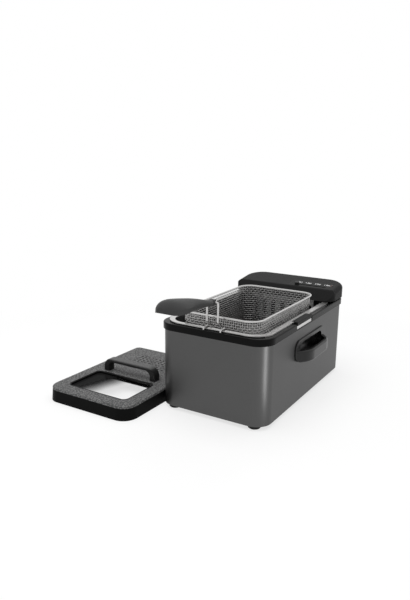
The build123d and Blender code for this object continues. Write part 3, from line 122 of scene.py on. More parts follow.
class Finish:
    """A node tree under construction. node() adds a node and returns one of its outputs."""

    def __init__(self, tree):
        self.tree = tree
        tree.nodes.clear()

    def node(self, kind, settings=None, sockets=None, out=0):
        """Adds a node: settings are set first, then sockets take numbers, colours or wires."""
        node = self.tree.nodes.new(kind)
        for name, value in (settings or {}).items():
            if name == "stops":
                for stop, (place, level) in zip(node.color_ramp.elements, value):
                    stop.position = place
                    stop.color = grey(level)
            else:
                setattr(node, name, value)
        for key, value in (sockets or {}).items():
            if isinstance(value, Wire):
                self.tree.links.new(value.socket, node.inputs[key])
            else:
                node.inputs[key].default_value = value
        if not node.outputs:
            return node
        return Wire(self, node.outputs[out])

    def maths(self, operation, *values):
        """One Math node on numbers or wires."""
        return self.node("ShaderNodeMath", {"operation": operation}, dict(enumerate(values)))

    def place(self, stretch=EVEN):
        """The surface's own place in the frame, stretched along each axis."""
        spot = self.node("ShaderNodeTexCoord", out="Object")
        return self.node("ShaderNodeMapping", None, {"Vector": spot, "Scale": stretch})

    def axes(self):
        """The surface's place as three separate wires."""
        parts = self.node("ShaderNodeSeparateXYZ", None, {"Vector": self.place()})
        return tuple(Wire(self, socket) for socket in parts.socket.node.outputs)

    def seen_ray(self):
        """1 where the camera, a glossy surface or glass looks, 0 for light that only fills."""
        paths = self.node("ShaderNodeLightPath").socket.node.outputs
        names = ("Is Camera Ray", "Is Glossy Ray", "Is Transmission Ray")
        camera, glossy, clear = (Wire(self, paths[name]) for name in names)
        return self.maths("MINIMUM", camera + glossy + clear, 1.0)

    def noise(self, scale, detail=2.0, stretch=EVEN, rough=0.5):
        """Soft noise between 0 and 1 with that many features in a metre."""
        return self.node(
            "ShaderNodeTexNoise",
            None,
            {"Vector": self.place(stretch), "Scale": scale, "Detail": detail, "Roughness": rough},
        )

    def ramp(self, value, first, last):
        """Maps a value to grey levels between two stops, each a place and a level."""
        return self.node("ShaderNodeValToRGB", {"stops": (first, last)}, {"Fac": value})

    def stray(self, middle, *spreads):
        """A value that strays round a middle by each wire from 0 to 1 times its span."""
        value = middle - sum(span for _, span in spreads) / 2
        for wire, span in spreads:
            value = wire * span + value
        return value

    def blend(self, factor, first, second):
        """A colour between two colours."""
        return self.node(
            "ShaderNodeMix",
            {"data_type": "RGBA"},
            {MIX_FACTOR: factor, MIX_FIRST: first, MIX_SECOND: second},
            out=MIX_RESULT,
        )

    def bump(self, height, strength, distance):
        """A normal bent by a height."""
        return self.node(
            "ShaderNodeBump", None, {"Height": height, "Strength": strength, "Distance": distance}
        )


def new_finish(name):
    """An empty material and its node builder."""
    material = bpy.data.materials.new(name)
    material.use_nodes = True
    return material, Finish(material.node_tree)


def close_finish(finish, sockets):
    """Ends a material with a Principled shader that takes those sockets."""
    shader = finish.node("ShaderNodeBsdfPrincipled", None, sockets)
    finish.node("ShaderNodeOutputMaterial", None, {"Surface": shader})


def grey(level, tint=0.0):
    """A grey colour, a little warmer for a positive tint."""
    return (level * (1 + tint), level, level * (1 - tint), 1.0)


def brushed_steel(name, dark, light, rough, stretch=EVEN, tint=0.0, edge=1.0):
    """Steel with fine drawn lines: stretched noise shifts its colour, gloss and surface.

    edge darkens what is mirrored at a flat angle.
    """
    material, finish = new_finish(name)
    lines = finish.noise(90.0, detail=4.0, stretch=stretch, rough=0.65)
    cloud = finish.noise(9.0)
    close_finish(
        finish,
        {
            "Base Color": finish.blend(
                lines * 0.7 + cloud * 0.3, grey(dark, tint), grey(light, tint)
            ),
            "Metallic": 1.0,
            "Roughness": finish.stray(rough, (lines, 0.14), (cloud, 0.06)),
            "Specular Tint": grey(edge),
            "Normal": finish.bump(lines, strength=0.02, distance=0.001),
        },
    )
    return material


def screw_steel(name):
    """Plated steel of screws and bolts."""
    return brushed_steel(name, dark=0.5, light=0.62, rough=0.35)


def plated_wire(name, level, rough):
    """Bright plated wire with a faint unevenness of gloss."""
    material, finish = new_finish(name)
    cloud = finish.noise(260.0, detail=3.0)
    warmth = 0.01
    close_finish(
        finish,
        {
            "Base Color": finish.blend(cloud, grey(level * 0.85, warmth), grey(level, warmth)),
            "Metallic": 1.0,
            "Roughness": finish.stray(rough, (cloud, 0.12)),
        },
    )
    return material


def moulded_plastic(name, level, rough, grain, depth, shine=0.5):
    """Moulded plastic: fine grain in the surface and a slight cloud in colour and gloss.

    grain is the number of pips in a metre and depth is how deep they look.
    """
    material, finish = new_finish(name)
    pips = finish.noise(grain)
    cloud = finish.noise(14.0, detail=3.0)
    speckle = finish.ramp(pips, (0.3, 0.0), (0.7, 1.0))
    close_finish(
        finish,
        {
            "Base Color": finish.blend(
                speckle * 0.25 + cloud * 0.75, grey(level * 0.8), grey(level * 1.2)
            ),
            "Roughness": finish.stray(rough, (cloud, 0.08), (pips, 0.06)),
            "Specular IOR Level": shine,
            "Normal": finish.bump(pips, strength=depth, distance=0.0004),
        },
    )
    return material


def lid_grain(name, dark, light):
    """Coarse spark-eroded grain: light pips on a darker ground, raised a little."""
    material, finish = new_finish(name)
    cells = finish.node(
        "ShaderNodeTexVoronoi", None, {"Vector": finish.place(), "Scale": 300.0, "Randomness": 1.0}
    )
    fine = finish.noise(1500.0)
    cloud = finish.noise(11.0, detail=3.0)
    pips = finish.ramp(cells, (0.1, 1.0), (0.62, 0.0))
    close_finish(
        finish,
        {
            "Base Color": finish.blend(
                pips * 0.75 + fine * 0.2 + cloud * 0.05, grey(dark), grey(light)
            ),
            "Roughness": finish.stray(0.53, (fine, 0.14)),
            "Specular IOR Level": 0.05,
            "Normal": finish.bump(pips + fine * 0.5, strength=0.35, distance=0.0004),
        },
    )
    return material


def grained_bar(name, dark, light):
    """Dark moulding of the lid handle, with grain, and its top face painted lighter as if lit from
    above.
    """
    low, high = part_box("lid_handle")
    material, finish = new_finish(name)
    _, _, up = finish.axes()
    # Painted light: the handle's top takes a lighter grained colour that stands for the light from
    # above, while its sides stay dark
    painted_light_top = finish.ramp((up - low[2]) / (high[2] - low[2]), (0.86, 0.0), (0.96, 1.0))
    grain = finish.noise(1000.0)
    pips = finish.ramp(grain, (0.35, 0.0), (0.65, 1.0))
    top = finish.blend(pips, grey(light * 0.5), grey(light * 1.5))
    close_finish(
        finish,
        {
            "Base Color": finish.blend(painted_light_top, grey(dark), top),
            "Roughness": finish.stray(0.45, (grain, 0.1)),
            "Specular IOR Level": 0.15,
            "Normal": finish.bump(grain, strength=0.22, distance=0.0004),
        },
    )
    return material


def window_glass(name):
    """Window glass: clear near its front right corner, with painted shade towards the back left one,
    where it turns into an opaque dark film.
    """
    low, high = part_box("window_glass")
    material, finish = new_finish(name)
    across, along, _ = finish.axes()
    right = (across - low[0]) / (high[0] - low[0])
    front = (high[1] - along) / (high[1] - low[1])
    haze = finish.noise(30.0, detail=4.0)
    # Painted shade: towards the back left the glass becomes an opaque dark film that stands for the
    # dark reflection there
    clear_of_painted_shade = right * 0.85 + front * 0.15 + haze * 0.06
    close_finish(
        finish,
        {
            "Base Color": grey(0.012),
            "Roughness": finish.stray(0.12, (haze, 0.04)),
            "Alpha": finish.ramp(clear_of_painted_shade, (0.26, 1.0), (0.54, 0.02)),
            "Specular IOR Level": 0.004,
        },
    )
    return material


def tinted_lens(name, colour):
    """Clear tinted lamp lens with a faint ribbing."""
    material, finish = new_finish(name)
    ribs = finish.noise(900.0, detail=1.0, stretch=(1.0, 6.0, 1.0))
    red, green, blue = colour
    close_finish(
        finish,
        {
            "Base Color": finish.blend(
                ribs, (red, green, blue, 1.0), (red * 0.5, green, blue, 1.0)
            ),
            "Roughness": finish.stray(0.17, (ribs, 0.1)),
        },
    )
    return material


def bowl_dark_below_rim(name, bright, dark):
    """Bare steel on the flange and tabs, and a dark colour where the bowl is deeper than its rim."""
    # The bare rim's depth below the bowl's top, and how far from the middle the tabs start
    rim_depth = 0.0015
    tab_start = 0.1025
    low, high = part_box("oil_bowl")
    middle = (low[0] + high[0]) / 2
    material, finish = new_finish(name)
    across, _, up = finish.axes()
    aside = finish.maths("ABSOLUTE", across - middle)
    rim = finish.maths("GREATER_THAN", up, high[2] - rim_depth)
    tab = finish.maths("GREATER_THAN", aside, tab_start)
    bare = finish.maths("MAXIMUM", rim, tab)
    lines = finish.noise(120.0, detail=3.0, stretch=(1.0, 1.0, 20.0), rough=0.6)
    cloud = finish.noise(40.0, detail=3.0)
    warmth = 0.01
    steel = finish.blend(lines, grey(bright * 0.86, warmth), grey(bright, warmth))
    # Below the rim the bowl takes a dark, cloudy colour
    dark_below_rim = finish.blend(cloud, grey(dark * 0.7), grey(dark * 1.3))
    close_finish(
        finish,
        {
            "Base Color": finish.blend(bare, dark_below_rim, steel),
            "Metallic": bare,
            "Roughness": finish.stray(0.29, (lines, 0.1), (cloud, 0.08)),
            "Specular IOR Level": 0.25,
        },
    )
    return material


def felt(name, level):
    """Filter felt: soft mottled fibre."""
    material, finish = new_finish(name)
    fibre = finish.noise(1200.0, detail=4.0, stretch=(1.0, 0.3, 1.0))
    warmth = 0.05
    close_finish(
        finish,
        {
            "Base Color": finish.blend(fibre, grey(level * 0.7, warmth), grey(level, warmth)),
            "Roughness": finish.stray(0.9, (fibre, 0.1)),
            "Normal": finish.bump(fibre, strength=0.5, distance=0.0005),
        },
    )
    return material


def white_print(name):
    """Printing ink, a little uneven."""
    material, finish = new_finish(name)
    cloud = finish.noise(800.0)
    close_finish(
        finish,
        {
            "Base Color": finish.blend(cloud, grey(0.82), grey(0.95)),
            "Roughness": finish.stray(0.55, (cloud, 0.1)),
        },
    )
    return material


def dress(material, *nodes):
    """Gives CAD nodes' objects a finish."""
    for node in nodes:
        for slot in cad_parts[node].material_slots:
            slot.material = material


def make_piece(name, points, faces, body, material):
    """A mesh at the origin from point and face arrays, riding on a body."""
    mesh = bpy.data.meshes.new(name)
    mesh.vertices.add(len(points))
    mesh.vertices.foreach_set("co", np.ascontiguousarray(points, dtype=np.float32).ravel())
    corners = np.concatenate([block.ravel() for block in faces]).astype(np.int32)
    sizes = np.concatenate([np.full(len(block), block.shape[1]) for block in faces])
    starts = np.concatenate([[0], np.cumsum(sizes)[:-1]]).astype(np.int32)
    mesh.loops.add(len(corners))
    mesh.loops.foreach_set("vertex_index", corners)
    mesh.polygons.add(len(sizes))
    mesh.polygons.foreach_set("loop_start", starts)
    mesh.update(calc_edges=True)
    mesh.validate()
    mesh.shade_smooth()
    mesh.materials.append(material)
    piece = bpy.data.objects.new(name, mesh)
    bpy.context.scene.collection.objects.link(piece)
    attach(piece, body)
    return piece


def wire_tubes(paths, outward, radius, sides, closed):
    """Round tubes along many paths at once.

    paths and outward are arrays of wires by points by 3. A ring of points stands round each path
    point, in the plane of outward and its cross product with the path's direction. Open tubes get
    end caps.
    """
    wires, count, _ = paths.shape
    if closed:
        along = np.roll(paths, -1, axis=1) - np.roll(paths, 1, axis=1)
    else:
        along = np.gradient(paths, axis=1)
    along /= np.linalg.norm(along, axis=2, keepdims=True)
    first = outward - along * np.sum(outward * along, axis=2, keepdims=True)
    first /= np.linalg.norm(first, axis=2, keepdims=True)
    second = np.cross(along, first)
    turn = (np.arange(sides) * 2 * math.pi / sides)[:, None]
    ring = first[:, :, None, :] * np.cos(turn) + second[:, :, None, :] * np.sin(turn)
    points = paths[:, :, None, :] + radius * ring
    index = np.arange(wires * count * sides).reshape(wires, count, sides)
    around = np.roll(index, -1, axis=2)
    if closed:
        ahead = np.roll(index, -1, axis=1)
        ahead_around = np.roll(around, -1, axis=1)
        quads = np.stack([index, around, ahead_around, ahead], axis=-1).reshape(-1, 4)
        return points.reshape(-1, 3), [quads]
    quads = np.stack(
        [index[:, :-1], around[:, :-1], around[:, 1:], index[:, 1:]], axis=-1
    ).reshape(-1, 4)
    caps = np.concatenate([index[:, 0, ::-1], index[:, -1, :]])
    return points.reshape(-1, 3), [quads, caps]


def rounded_plan(half_w, half_l, radius, count):
    """Points and outward normals evenly spaced round a rounded rectangle.

    The outline starts in the middle of the right side and goes anticlockwise: straights take turns
    with quarter circles, and the last straight is the other half of the right side.
    """
    half_side = half_l - radius
    end = 2 * (half_w - radius)
    arc = radius * math.pi / 2
    lengths = [half_side, arc, end, arc, 2 * half_side, arc, end, arc, half_side]
    edges = np.concatenate([[0.0], np.cumsum(lengths)])
    travel = np.arange(count) * edges[-1] / count
    centres = np.array([[1, 1], [-1, 1], [-1, -1], [1, -1]]) * [half_w - radius, half_side]
    points = np.zeros((count, 2))
    normals = np.zeros((count, 2))
    for part in range(len(lengths)):
        inside = (travel >= edges[part]) & (travel < edges[part + 1])
        step = travel[inside] - edges[part]
        corner = part // 2
        angle = corner * math.pi / 2
        if part % 2:
            angles = angle + step / radius
            normals[inside] = np.stack([np.cos(angles), np.sin(angles)], axis=1)
            points[inside] = centres[corner] + radius * normals[inside]
        else:
            normal = np.array([math.cos(angle), math.sin(angle)])
            heading = np.array([-normal[1], normal[0]])
            if part == 0:
                start = np.array([half_w, 0.0])
            else:
                start = centres[corner - 1] + radius * normal
            normals[inside] = normal
            points[inside] = start + heading * step[:, None]
    return points, normals


class BasketPlan(NamedTuple):
    """The middle surface of the basket's mesh, and how many wires it takes."""

    middle: np.ndarray
    half_w: float
    half_l: float
    base: float
    height: float
    uprights: int
    rows: int


def plan_basket(sizes):
    """Reads the mesh's middle surface from the middles of the CAD panels."""
    # The wires' ends stay this far inside the panels' top and bottom
    inset = 0.0006
    front_low, front_high = (np.array(corner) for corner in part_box("net_front"))
    rear_low, rear_high = (np.array(corner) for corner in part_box("net_rear"))
    left_low, left_high = (np.array(corner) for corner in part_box("net_left"))
    right_low, right_high = (np.array(corner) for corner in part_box("net_right"))
    half_w = (right_high[0] + right_low[0] - left_low[0] - left_high[0]) / 4
    half_l = (rear_low[1] + rear_high[1] - front_low[1] - front_high[1]) / 4
    middle = np.array([(left_low[0] + right_high[0]) / 2, (front_low[1] + rear_high[1]) / 2])
    base = front_low[2] + inset
    height = front_high[2] - front_low[2] - 2 * inset
    corner = sizes.corner_radius
    outline = 4 * (half_w - corner) + 4 * (half_l - corner) + 2 * math.pi * corner
    uprights = 2 * round(outline / sizes.pitch / 2)
    rows = int(height / sizes.pitch)
    return BasketPlan(middle, half_w, half_l, base, height, uprights, rows)


def weave_uprights(plan, sizes):
    """Upright wires round the basket, each waving in and out of the rings."""
    spots, normals = rounded_plan(plan.half_w, plan.half_l, sizes.corner_radius, plan.uprights)
    rise = np.linspace(0.0, 1.0, 2 * plan.rows + 1)
    beat = np.arange(plan.uprights)[:, None] + rise[None, :] * plan.rows
    wave = sizes.wire_radius * np.cos(math.pi * beat)
    outward = np.zeros((plan.uprights, len(rise), 3))
    outward[:, :, :2] = normals[:, None, :]
    paths = np.zeros((plan.uprights, len(rise), 3))
    paths[:, :, :2] = plan.middle + spots[:, None, :] + wave[:, :, None] * normals[:, None, :]
    paths[:, :, 2] = plan.base + plan.height * rise
    return wire_tubes(paths, outward, sizes.wire_radius, sizes.sides, closed=False)


def weave_rings(plan, sizes):
    """One ring at each row, waving the other way."""
    count = 2 * plan.uprights
    spots, normals = rounded_plan(plan.half_w, plan.half_l, sizes.corner_radius, count)
    levels = np.arange(plan.rows + 1)
    beat = np.arange(count)[None, :] / 2 + levels[:, None]
    wave = -sizes.wire_radius * np.cos(math.pi * beat)
    outward = np.zeros((len(levels), count, 3))
    outward[:, :, :2] = normals[None, :, :]
    paths = np.zeros((len(levels), count, 3))
    paths[:, :, :2] = plan.middle + spots[None, :, :] + wave[:, :, None] * normals[None, :, :]
    paths[:, :, 2] = (plan.base + plan.height * levels / plan.rows)[:, None]
    return wire_tubes(paths, outward, sizes.wire_radius, sizes.sides, closed=True)


def weave_floor(plan, sizes):
    """Two sets of straight floor wires that end on the rounded outline."""
    corner = sizes.corner_radius
    point_blocks = []
    face_blocks = []
    offset = 0
    for along, reach, width in ((0, plan.half_w, plan.half_l), (1, plan.half_l, plan.half_w)):
        lines = int(2 * width / sizes.pitch)
        order = np.arange(lines)
        across = (order - (lines - 1) / 2) * sizes.pitch
        into_corner = np.clip(np.abs(across) - (width - corner), 0.0, corner)
        half = reach - corner + np.sqrt(corner**2 - into_corner**2)
        bends = 2 * int(2 * reach / sizes.pitch) + 1
        run = half[:, None] * np.linspace(-1.0, 1.0, bends)[None, :]
        wave = sizes.wire_radius * np.cos(math.pi * (run / sizes.pitch + order[:, None] + along))
        paths = np.zeros((lines, bends, 3))
        paths[:, :, along] = plan.middle[along] + run
        paths[:, :, 1 - along] = plan.middle[1 - along] + across[:, None]
        paths[:, :, 2] = plan.base + wave
        outward = np.zeros((lines, bends, 3))
        outward[:, :, 2] = 1.0
        points, faces = wire_tubes(paths, outward, sizes.wire_radius, sizes.sides, closed=False)
        point_blocks.append(points)
        face_blocks.extend(block + offset for block in faces)
        offset += len(points)
    return np.concatenate(point_blocks), face_blocks


def tone_setting(name, description, level):
    """A setting that holds a grey level."""
    return bpy.props.FloatProperty(
        name=name, description=description, default=level, min=0.0, max=1.0
    )


def length_setting(name, description, length, least=0.0):
    """A setting that holds a length."""
    return bpy.props.FloatProperty(
        name=name, description=description, default=length, min=least, precision=5, unit="LENGTH"
    )


def angle_setting(name, description, angle):
    """A setting that holds an angle."""
    return bpy.props.FloatProperty(
        name=name, description=description, default=angle, subtype="ANGLE"
    )


def place_setting(name, description, place):
    """A setting that holds a place."""
    return bpy.props.FloatVectorProperty(
        name=name, description=description, default=place, subtype="TRANSLATION"
    )


def power_setting(name, description, power):
    """A setting that holds a light's power."""
    return bpy.props.FloatProperty(
        name=name, description=description, default=power, min=0.0, unit="POWER"
    )


class FryerFinishSettings(bpy.types.PropertyGroup):
    """Grey levels of the fryer's materials."""

    housing_tone: tone_setting("Housing tone", "Grey level of the brushed housing", 0.092)
    bowl_tone: tone_setting("Bowl tone", "Grey level of the bowl's bare steel", 0.62)
    plastic_tone: tone_setting("Plastic tone", "Grey level of the satin black mouldings", 0.011)
    gloss_tone: tone_setting("Gloss tone", "Grey level of the gloss black collar and bezel", 0.0035)
    grip_tone: tone_setting("Grip tone", "Grey level of the basket grip and lid handle", 0.046)
    lid_tone: tone_setting("Lid tone", "Grey level of the grained lid", 0.15)
    wire_tone: tone_setting("Wire tone", "Grey level of the plated wire", 0.56)


class PrintedScaleSettings(bpy.types.PropertyGroup):
    """Sizes of the printed numbers on the head's panel."""

    size: length_setting("Number size", "Size of the lettering", 0.0098)
    spacing: length_setting("Number spacing", "Distance between numbers", 0.022)
    climb: length_setting("Climb", "Distance up the slope from the panel's middle", 0.005)
    lift: length_setting("Lift", "Height of the print over the panel's middle", 0.00064)
    relief: length_setting("Relief", "Half the thickness of the print", 0.00004)


class BasketMeshSettings(bpy.types.PropertyGroup):
    """Sizes of the woven basket."""

    pitch: length_setting("Mesh pitch", "Distance between wires", 0.0046, least=0.002)
    wire_radius: length_setting("Wire radius", "Radius of a mesh wire", 0.00055, least=0.0002)
    corner_radius: length_setting("Corner radius", "Radius of the mesh's upright corners", 0.0254)
    sides: bpy.props.IntProperty(
        name="Wire sides", description="Number of flats round a mesh wire", default=6, min=4, max=8
    )


class StageSettings(bpy.types.PropertyGroup):
    """Camera, floor and light."""

    eye: place_setting(
        "Eye", "Camera's place from the middle of the housing's foot", (0.52594, -1.07967, 0.48758)
    )
    yaw: angle_setting("Yaw", "Camera's turn to the left", 0.5494)
    pitch: angle_setting("Pitch", "Camera's tilt downwards", 0.2439)
    roll: angle_setting("Roll", "Camera's roll", 0.0091)
    focal: bpy.props.FloatProperty(
        name="Focal length",
        description="Lens in millimetres on a 36 mm sensor",
        default=35.05,
        min=10.0,
    )
    floor_tone: tone_setting("Floor tone", "Grey level of the floor", 0.95)
    floor_glow: tone_setting("Floor glow", "Least share of plain white in the seen floor", 0.7)
    fill: tone_setting("Fill", "Strength of the light from all round", 0.7)
    overhead_power: power_setting("Overhead power", "Power of the overhead softbox", 16.0)
    overhead_size: length_setting("Overhead size", "Side of the overhead softbox", 1.6)
    overhead_place: place_setting("Overhead place", "Place of the softbox", (0.0, -0.1, 1.7))
    overhead_aim: place_setting("Overhead aim", "Point that the softbox faces", (0.0, 0.0, 0.1))
    strip_power: power_setting("Strip power", "Power of the front right corner's strip", 0.12)
    strip_width: length_setting("Strip width", "Width of the strip", 0.045)
    strip_height: length_setting("Strip height", "Height of the strip", 0.15)
    strip_place: place_setting(
        "Strip place", "Strip's place from the middle of the housing's foot", (0.249, -0.2115, 0.078)
    )
    strip_aim: place_setting(
        "Strip aim", "Point that the strip faces, from the same middle", (0.11, -0.193, 0.078)
    )


SETTINGS = {
    "fryer_finish": FryerFinishSettings,
    "fryer_scale": PrintedScaleSettings,
    "fryer_mesh": BasketMeshSettings,
    "fryer_stage": StageSettings,
}


class FRYER_OT_housing(bpy.types.Operator):
    """Finishes the housing, its tray, feet, collar and side handles"""

    bl_idname = "fryer.housing"
    bl_label = "Housing"

    def execute(self, context):
        tones = context.scene.fryer_finish
        steel = brushed_steel(
            "Brushed dark steel",
            dark=tones.housing_tone * 0.86,
            light=tones.housing_tone * 1.14,
            rough=0.38,
            stretch=LEVEL_LINES,
            edge=0.85,
        )
        collar = moulded_plastic(
            "Gloss black collar", tones.gloss_tone, rough=0.22, grain=500.0, depth=0.03, shine=0.07
        )
        handle = moulded_plastic(
            "Side handle", tones.plastic_tone * 0.3, rough=0.3, grain=1400.0, depth=0.06, shine=0.35
        )
        tray = moulded_plastic(
            "Satin black moulding", tones.plastic_tone, rough=0.38, grain=1400.0, depth=0.25, shine=0.22
        )
        rubber = moulded_plastic(
            "Black rubber", 0.02, rough=0.8, grain=1800.0, depth=0.4, shine=0.3
        )
        dress(steel, "housing_shell")
        dress(collar, "top_collar")
        dress(handle, "side_handle_right", "side_handle_left")
        dress(tray, "base_tray")
        dress(rubber, "rubber_feet")
        dress(screw_steel("Zinc plated steel"), "tie_bolts", "handle_screws")
        return {"FINISHED"}


class FRYER_OT_bowl(bpy.types.Operator):
    """Finishes the bowl and its lifting pads"""

    bl_idname = "fryer.bowl"
    bl_label = "Bowl"

    def execute(self, context):
        tones = context.scene.fryer_finish
        pad = moulded_plastic(
            "Lifting pad", tones.plastic_tone * 0.5, rough=0.5, grain=1600.0, depth=0.3, shine=0.12
        )
        dress(bowl_dark_below_rim("Bowl dark below rim", bright=tones.bowl_tone, dark=0.022), "oil_bowl")
        dress(pad, "bowl_grips")
        return {"FINISHED"}


class FRYER_OT_head(bpy.types.Operator):
    """Finishes the control head, its element and what is inside it"""

    bl_idname = "fryer.head"
    bl_label = "Control head"

    def execute(self, context):
        tones = context.scene.fryer_finish
        cover = moulded_plastic(
            "Head moulding", tones.plastic_tone * 1.3, rough=0.4, grain=1300.0, depth=0.22, shine=0.03
        )
        panel = moulded_plastic(
            "Panel film", tones.plastic_tone, rough=0.3, grain=900.0, depth=0.04, shine=0.03
        )
        slider = moulded_plastic(
            "Slider cap", tones.plastic_tone * 1.5, rough=0.45, grain=1500.0, depth=0.25, shine=0.2
        )
        bush = moulded_plastic("Cord bush", 0.018, rough=0.7, grain=1700.0, depth=0.3)
        switch = moulded_plastic("Switch body", 0.5, rough=0.6, grain=1200.0, depth=0.2)
        guard = brushed_steel("Guard steel", dark=0.6, light=0.7, rough=0.3, stretch=LONG_LINES)
        tube = brushed_steel("Element tube", dark=0.3, light=0.42, rough=0.42, tint=0.03)
        dress(cover, "head_cover", "head_base")
        dress(panel, "control_panel")
        dress(slider, "thermostat_slider")
        dress(bush, "cord_gland")
        dress(tinted_lens("Lamp lens", (0.06, 0.006, 0.005)), "pilot_lamps")
        dress(tinted_lens("Reset button", (0.3, 0.02, 0.015)), "reset_button")
        dress(switch, "thermostat", "thermal_cutout", "terminal_block")
        dress(guard, "element_guard", "sensor_bulb", "sensor_clips")
        dress(tube, "heating_element")
        dress(screw_steel("Head screw"), "head_screws")
        return {"FINISHED"}


class FRYER_OT_scale(bpy.types.Operator):
    """Prints the temperature scale on the head's panel"""

    bl_idname = "fryer.scale"
    bl_label = "Printed scale"

    def execute(self, context):
        sizes = context.scene.fryer_scale
        material = white_print("White print")
        low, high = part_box("control_panel")
        middle = (Vector(low) + Vector(high)) / 2
        lift = Matrix.Translation(middle + Vector((0.0, 0.0, sizes.lift)))
        tilt = Matrix.Rotation(HEAD_SLOPE, 4, "X")
        for order, number in enumerate(SCALE_NUMBERS):
            words = bpy.data.curves.new("scale_" + number, "FONT")
            words.body = number
            words.size = sizes.size
            words.extrude = sizes.relief
            words.align_x = "CENTER"
            words.align_y = "CENTER"
            holder = bpy.data.objects.new("scale_text_" + number, words)
            bpy.context.scene.collection.objects.link(holder)
            bpy.context.view_layer.update()
            mesh = bpy.data.meshes.new_from_object(holder)
            bpy.data.objects.remove(holder)
            across = (order - (len(SCALE_NUMBERS) - 1) / 2) * sizes.spacing
            mesh.transform(lift @ tilt @ Matrix.Translation((across, sizes.climb, 0.0)))
            mesh.materials.clear()
            mesh.materials.append(material)
            piece = bpy.data.objects.new("scale_" + number, mesh)
            bpy.context.scene.collection.objects.link(piece)
            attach(piece, "control_head")
        return {"FINISHED"}


class FRYER_OT_basket(bpy.types.Operator):
    """Weaves the basket's mesh and finishes its wires and grip"""

    bl_idname = "fryer.basket"
    bl_label = "Basket"

    def execute(self, context):
        tones = context.scene.fryer_finish
        sizes = context.scene.fryer_mesh
        wire = plated_wire("Plated wire", tones.wire_tone, rough=0.16)
        mesh_wire = plated_wire("Mesh wire", tones.wire_tone * 0.95, rough=0.22)
        grip = moulded_plastic(
            "Basket grip", tones.grip_tone, rough=0.45, grain=1500.0, depth=0.3, shine=0.1
        )
        dress(wire, "basket_rim", "basket_foot_wire", "handle_bracket", "drain_hook")
        dress(grip, "basket_grip")

        plan = plan_basket(sizes)
        points, faces = weave_uprights(plan, sizes)
        piece = make_piece("basket_mesh_uprights", points, faces, "basket", mesh_wire)
        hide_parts("net_front", "net_rear", "net_corners")
        points, faces = weave_rings(plan, sizes)
        piece = make_piece("basket_mesh_rings", points, faces, "basket", mesh_wire)
        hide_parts("net_left", "net_right")
        points, faces = weave_floor(plan, sizes)
        piece = make_piece("basket_mesh_floor", points, faces, "basket", mesh_wire)
        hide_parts("net_floor")
        return {"FINISHED"}


class FRYER_OT_lid(bpy.types.Operator):
    """Finishes the lid, its window, handle and filter"""

    bl_idname = "fryer.lid"
    bl_label = "Lid"

    def execute(self, context):
        tones = context.scene.fryer_finish
        grain = lid_grain("Grained lid", dark=tones.lid_tone * 0.3, light=tones.lid_tone * 1.9)
        skirt = moulded_plastic(
            "Lid skirt", tones.plastic_tone * 0.45, rough=0.45, grain=1400.0, depth=0.25, shine=0.03
        )
        bezel = moulded_plastic(
            "Window bezel", tones.gloss_tone, rough=0.25, grain=700.0, depth=0.05, shine=0.12
        )
        # The lid handle's top is painted lighter, as if lit from above; light sets that painted level
        bar = grained_bar("Lid handle", dark=tones.grip_tone * 0.3, light=tones.lid_tone * 0.6)
        dress(grain, "lid_top", "vent_grille")
        dress(skirt, "lid_skirt", "glass_retainer", "filter_frame")
        dress(bezel, "window_bezel")
        dress(window_glass("Window glass"), "window_glass")
        dress(bar, "lid_handle")
        dress(screw_steel("Lid screw"), "lid_screws")
        dress(felt("Filter felt", 0.5), "filter_pad")
        return {"FINISHED"}


def lay_floor(stage):
    """A pale disc that turns into plain white away from the object."""
    turn = np.arange(FLOOR_SIDES) * 2 * math.pi / FLOOR_SIDES
    circle = np.stack([np.cos(turn), np.sin(turn), np.zeros(FLOOR_SIDES)], axis=1)
    points = np.concatenate([np.zeros((1, 3))] + [radius * circle for radius in FLOOR_RINGS])
    index = 1 + np.arange(len(FLOOR_RINGS) * FLOOR_SIDES).reshape(-1, FLOOR_SIDES)
    around = np.roll(index, -1, axis=1)
    fan = np.stack([np.zeros(FLOOR_SIDES, dtype=int), index[0], around[0]], axis=1)
    quads = np.stack([index[:-1], index[1:], around[1:], around[:-1]], axis=-1).reshape(-1, 4)
    mesh = bpy.data.meshes.new("floor")
    mesh.from_pydata(points.tolist(), [], fan.tolist() + quads.tolist())
    floor = bpy.data.objects.new("floor", mesh)
    bpy.context.scene.collection.objects.link(floor)

    material, finish = new_finish("Pale floor")
    spot = finish.node("ShaderNodeTexCoord", out="Object")
    far = finish.node("ShaderNodeVectorMath", {"operation": "LENGTH"}, {0: spot}, out="Value")
    # Plain white takes over between these distances from the middle
    fade_start = 0.4
    fade_end = 0.84
    white_share = finish.ramp(far, (fade_start, 0.0), (fade_end, 1.0))
    seen = finish.maths("MAXIMUM", white_share, stage.floor_glow) * finish.seen_ray()
    plain = finish.node("ShaderNodeBsdfDiffuse", None, {"Color": grey(stage.floor_tone)})
    white = finish.node("ShaderNodeEmission", None, {"Color": grey(1.0), "Strength": 1.0})
    surface = finish.node("ShaderNodeMixShader", None, {0: seen, 1: plain, 2: white})
    finish.node("ShaderNodeOutputMaterial", None, {"Surface": surface})
    mesh.materials.append(material)


def light_world(stage):
    """White where the camera, gloss or glass sees it, and a soft fill for everything else."""
    world = bpy.data.worlds.new("Studio")
    bpy.context.scene.world = world
    world.use_nodes = True
    finish = Finish(world.node_tree)
    strength = finish.seen_ray() * (1.0 - stage.fill) + stage.fill
    back = finish.node("ShaderNodeBackground", None, {"Color": grey(1.0), "Strength": strength})
    finish.node("ShaderNodeOutputWorld", None, {"Surface": back})


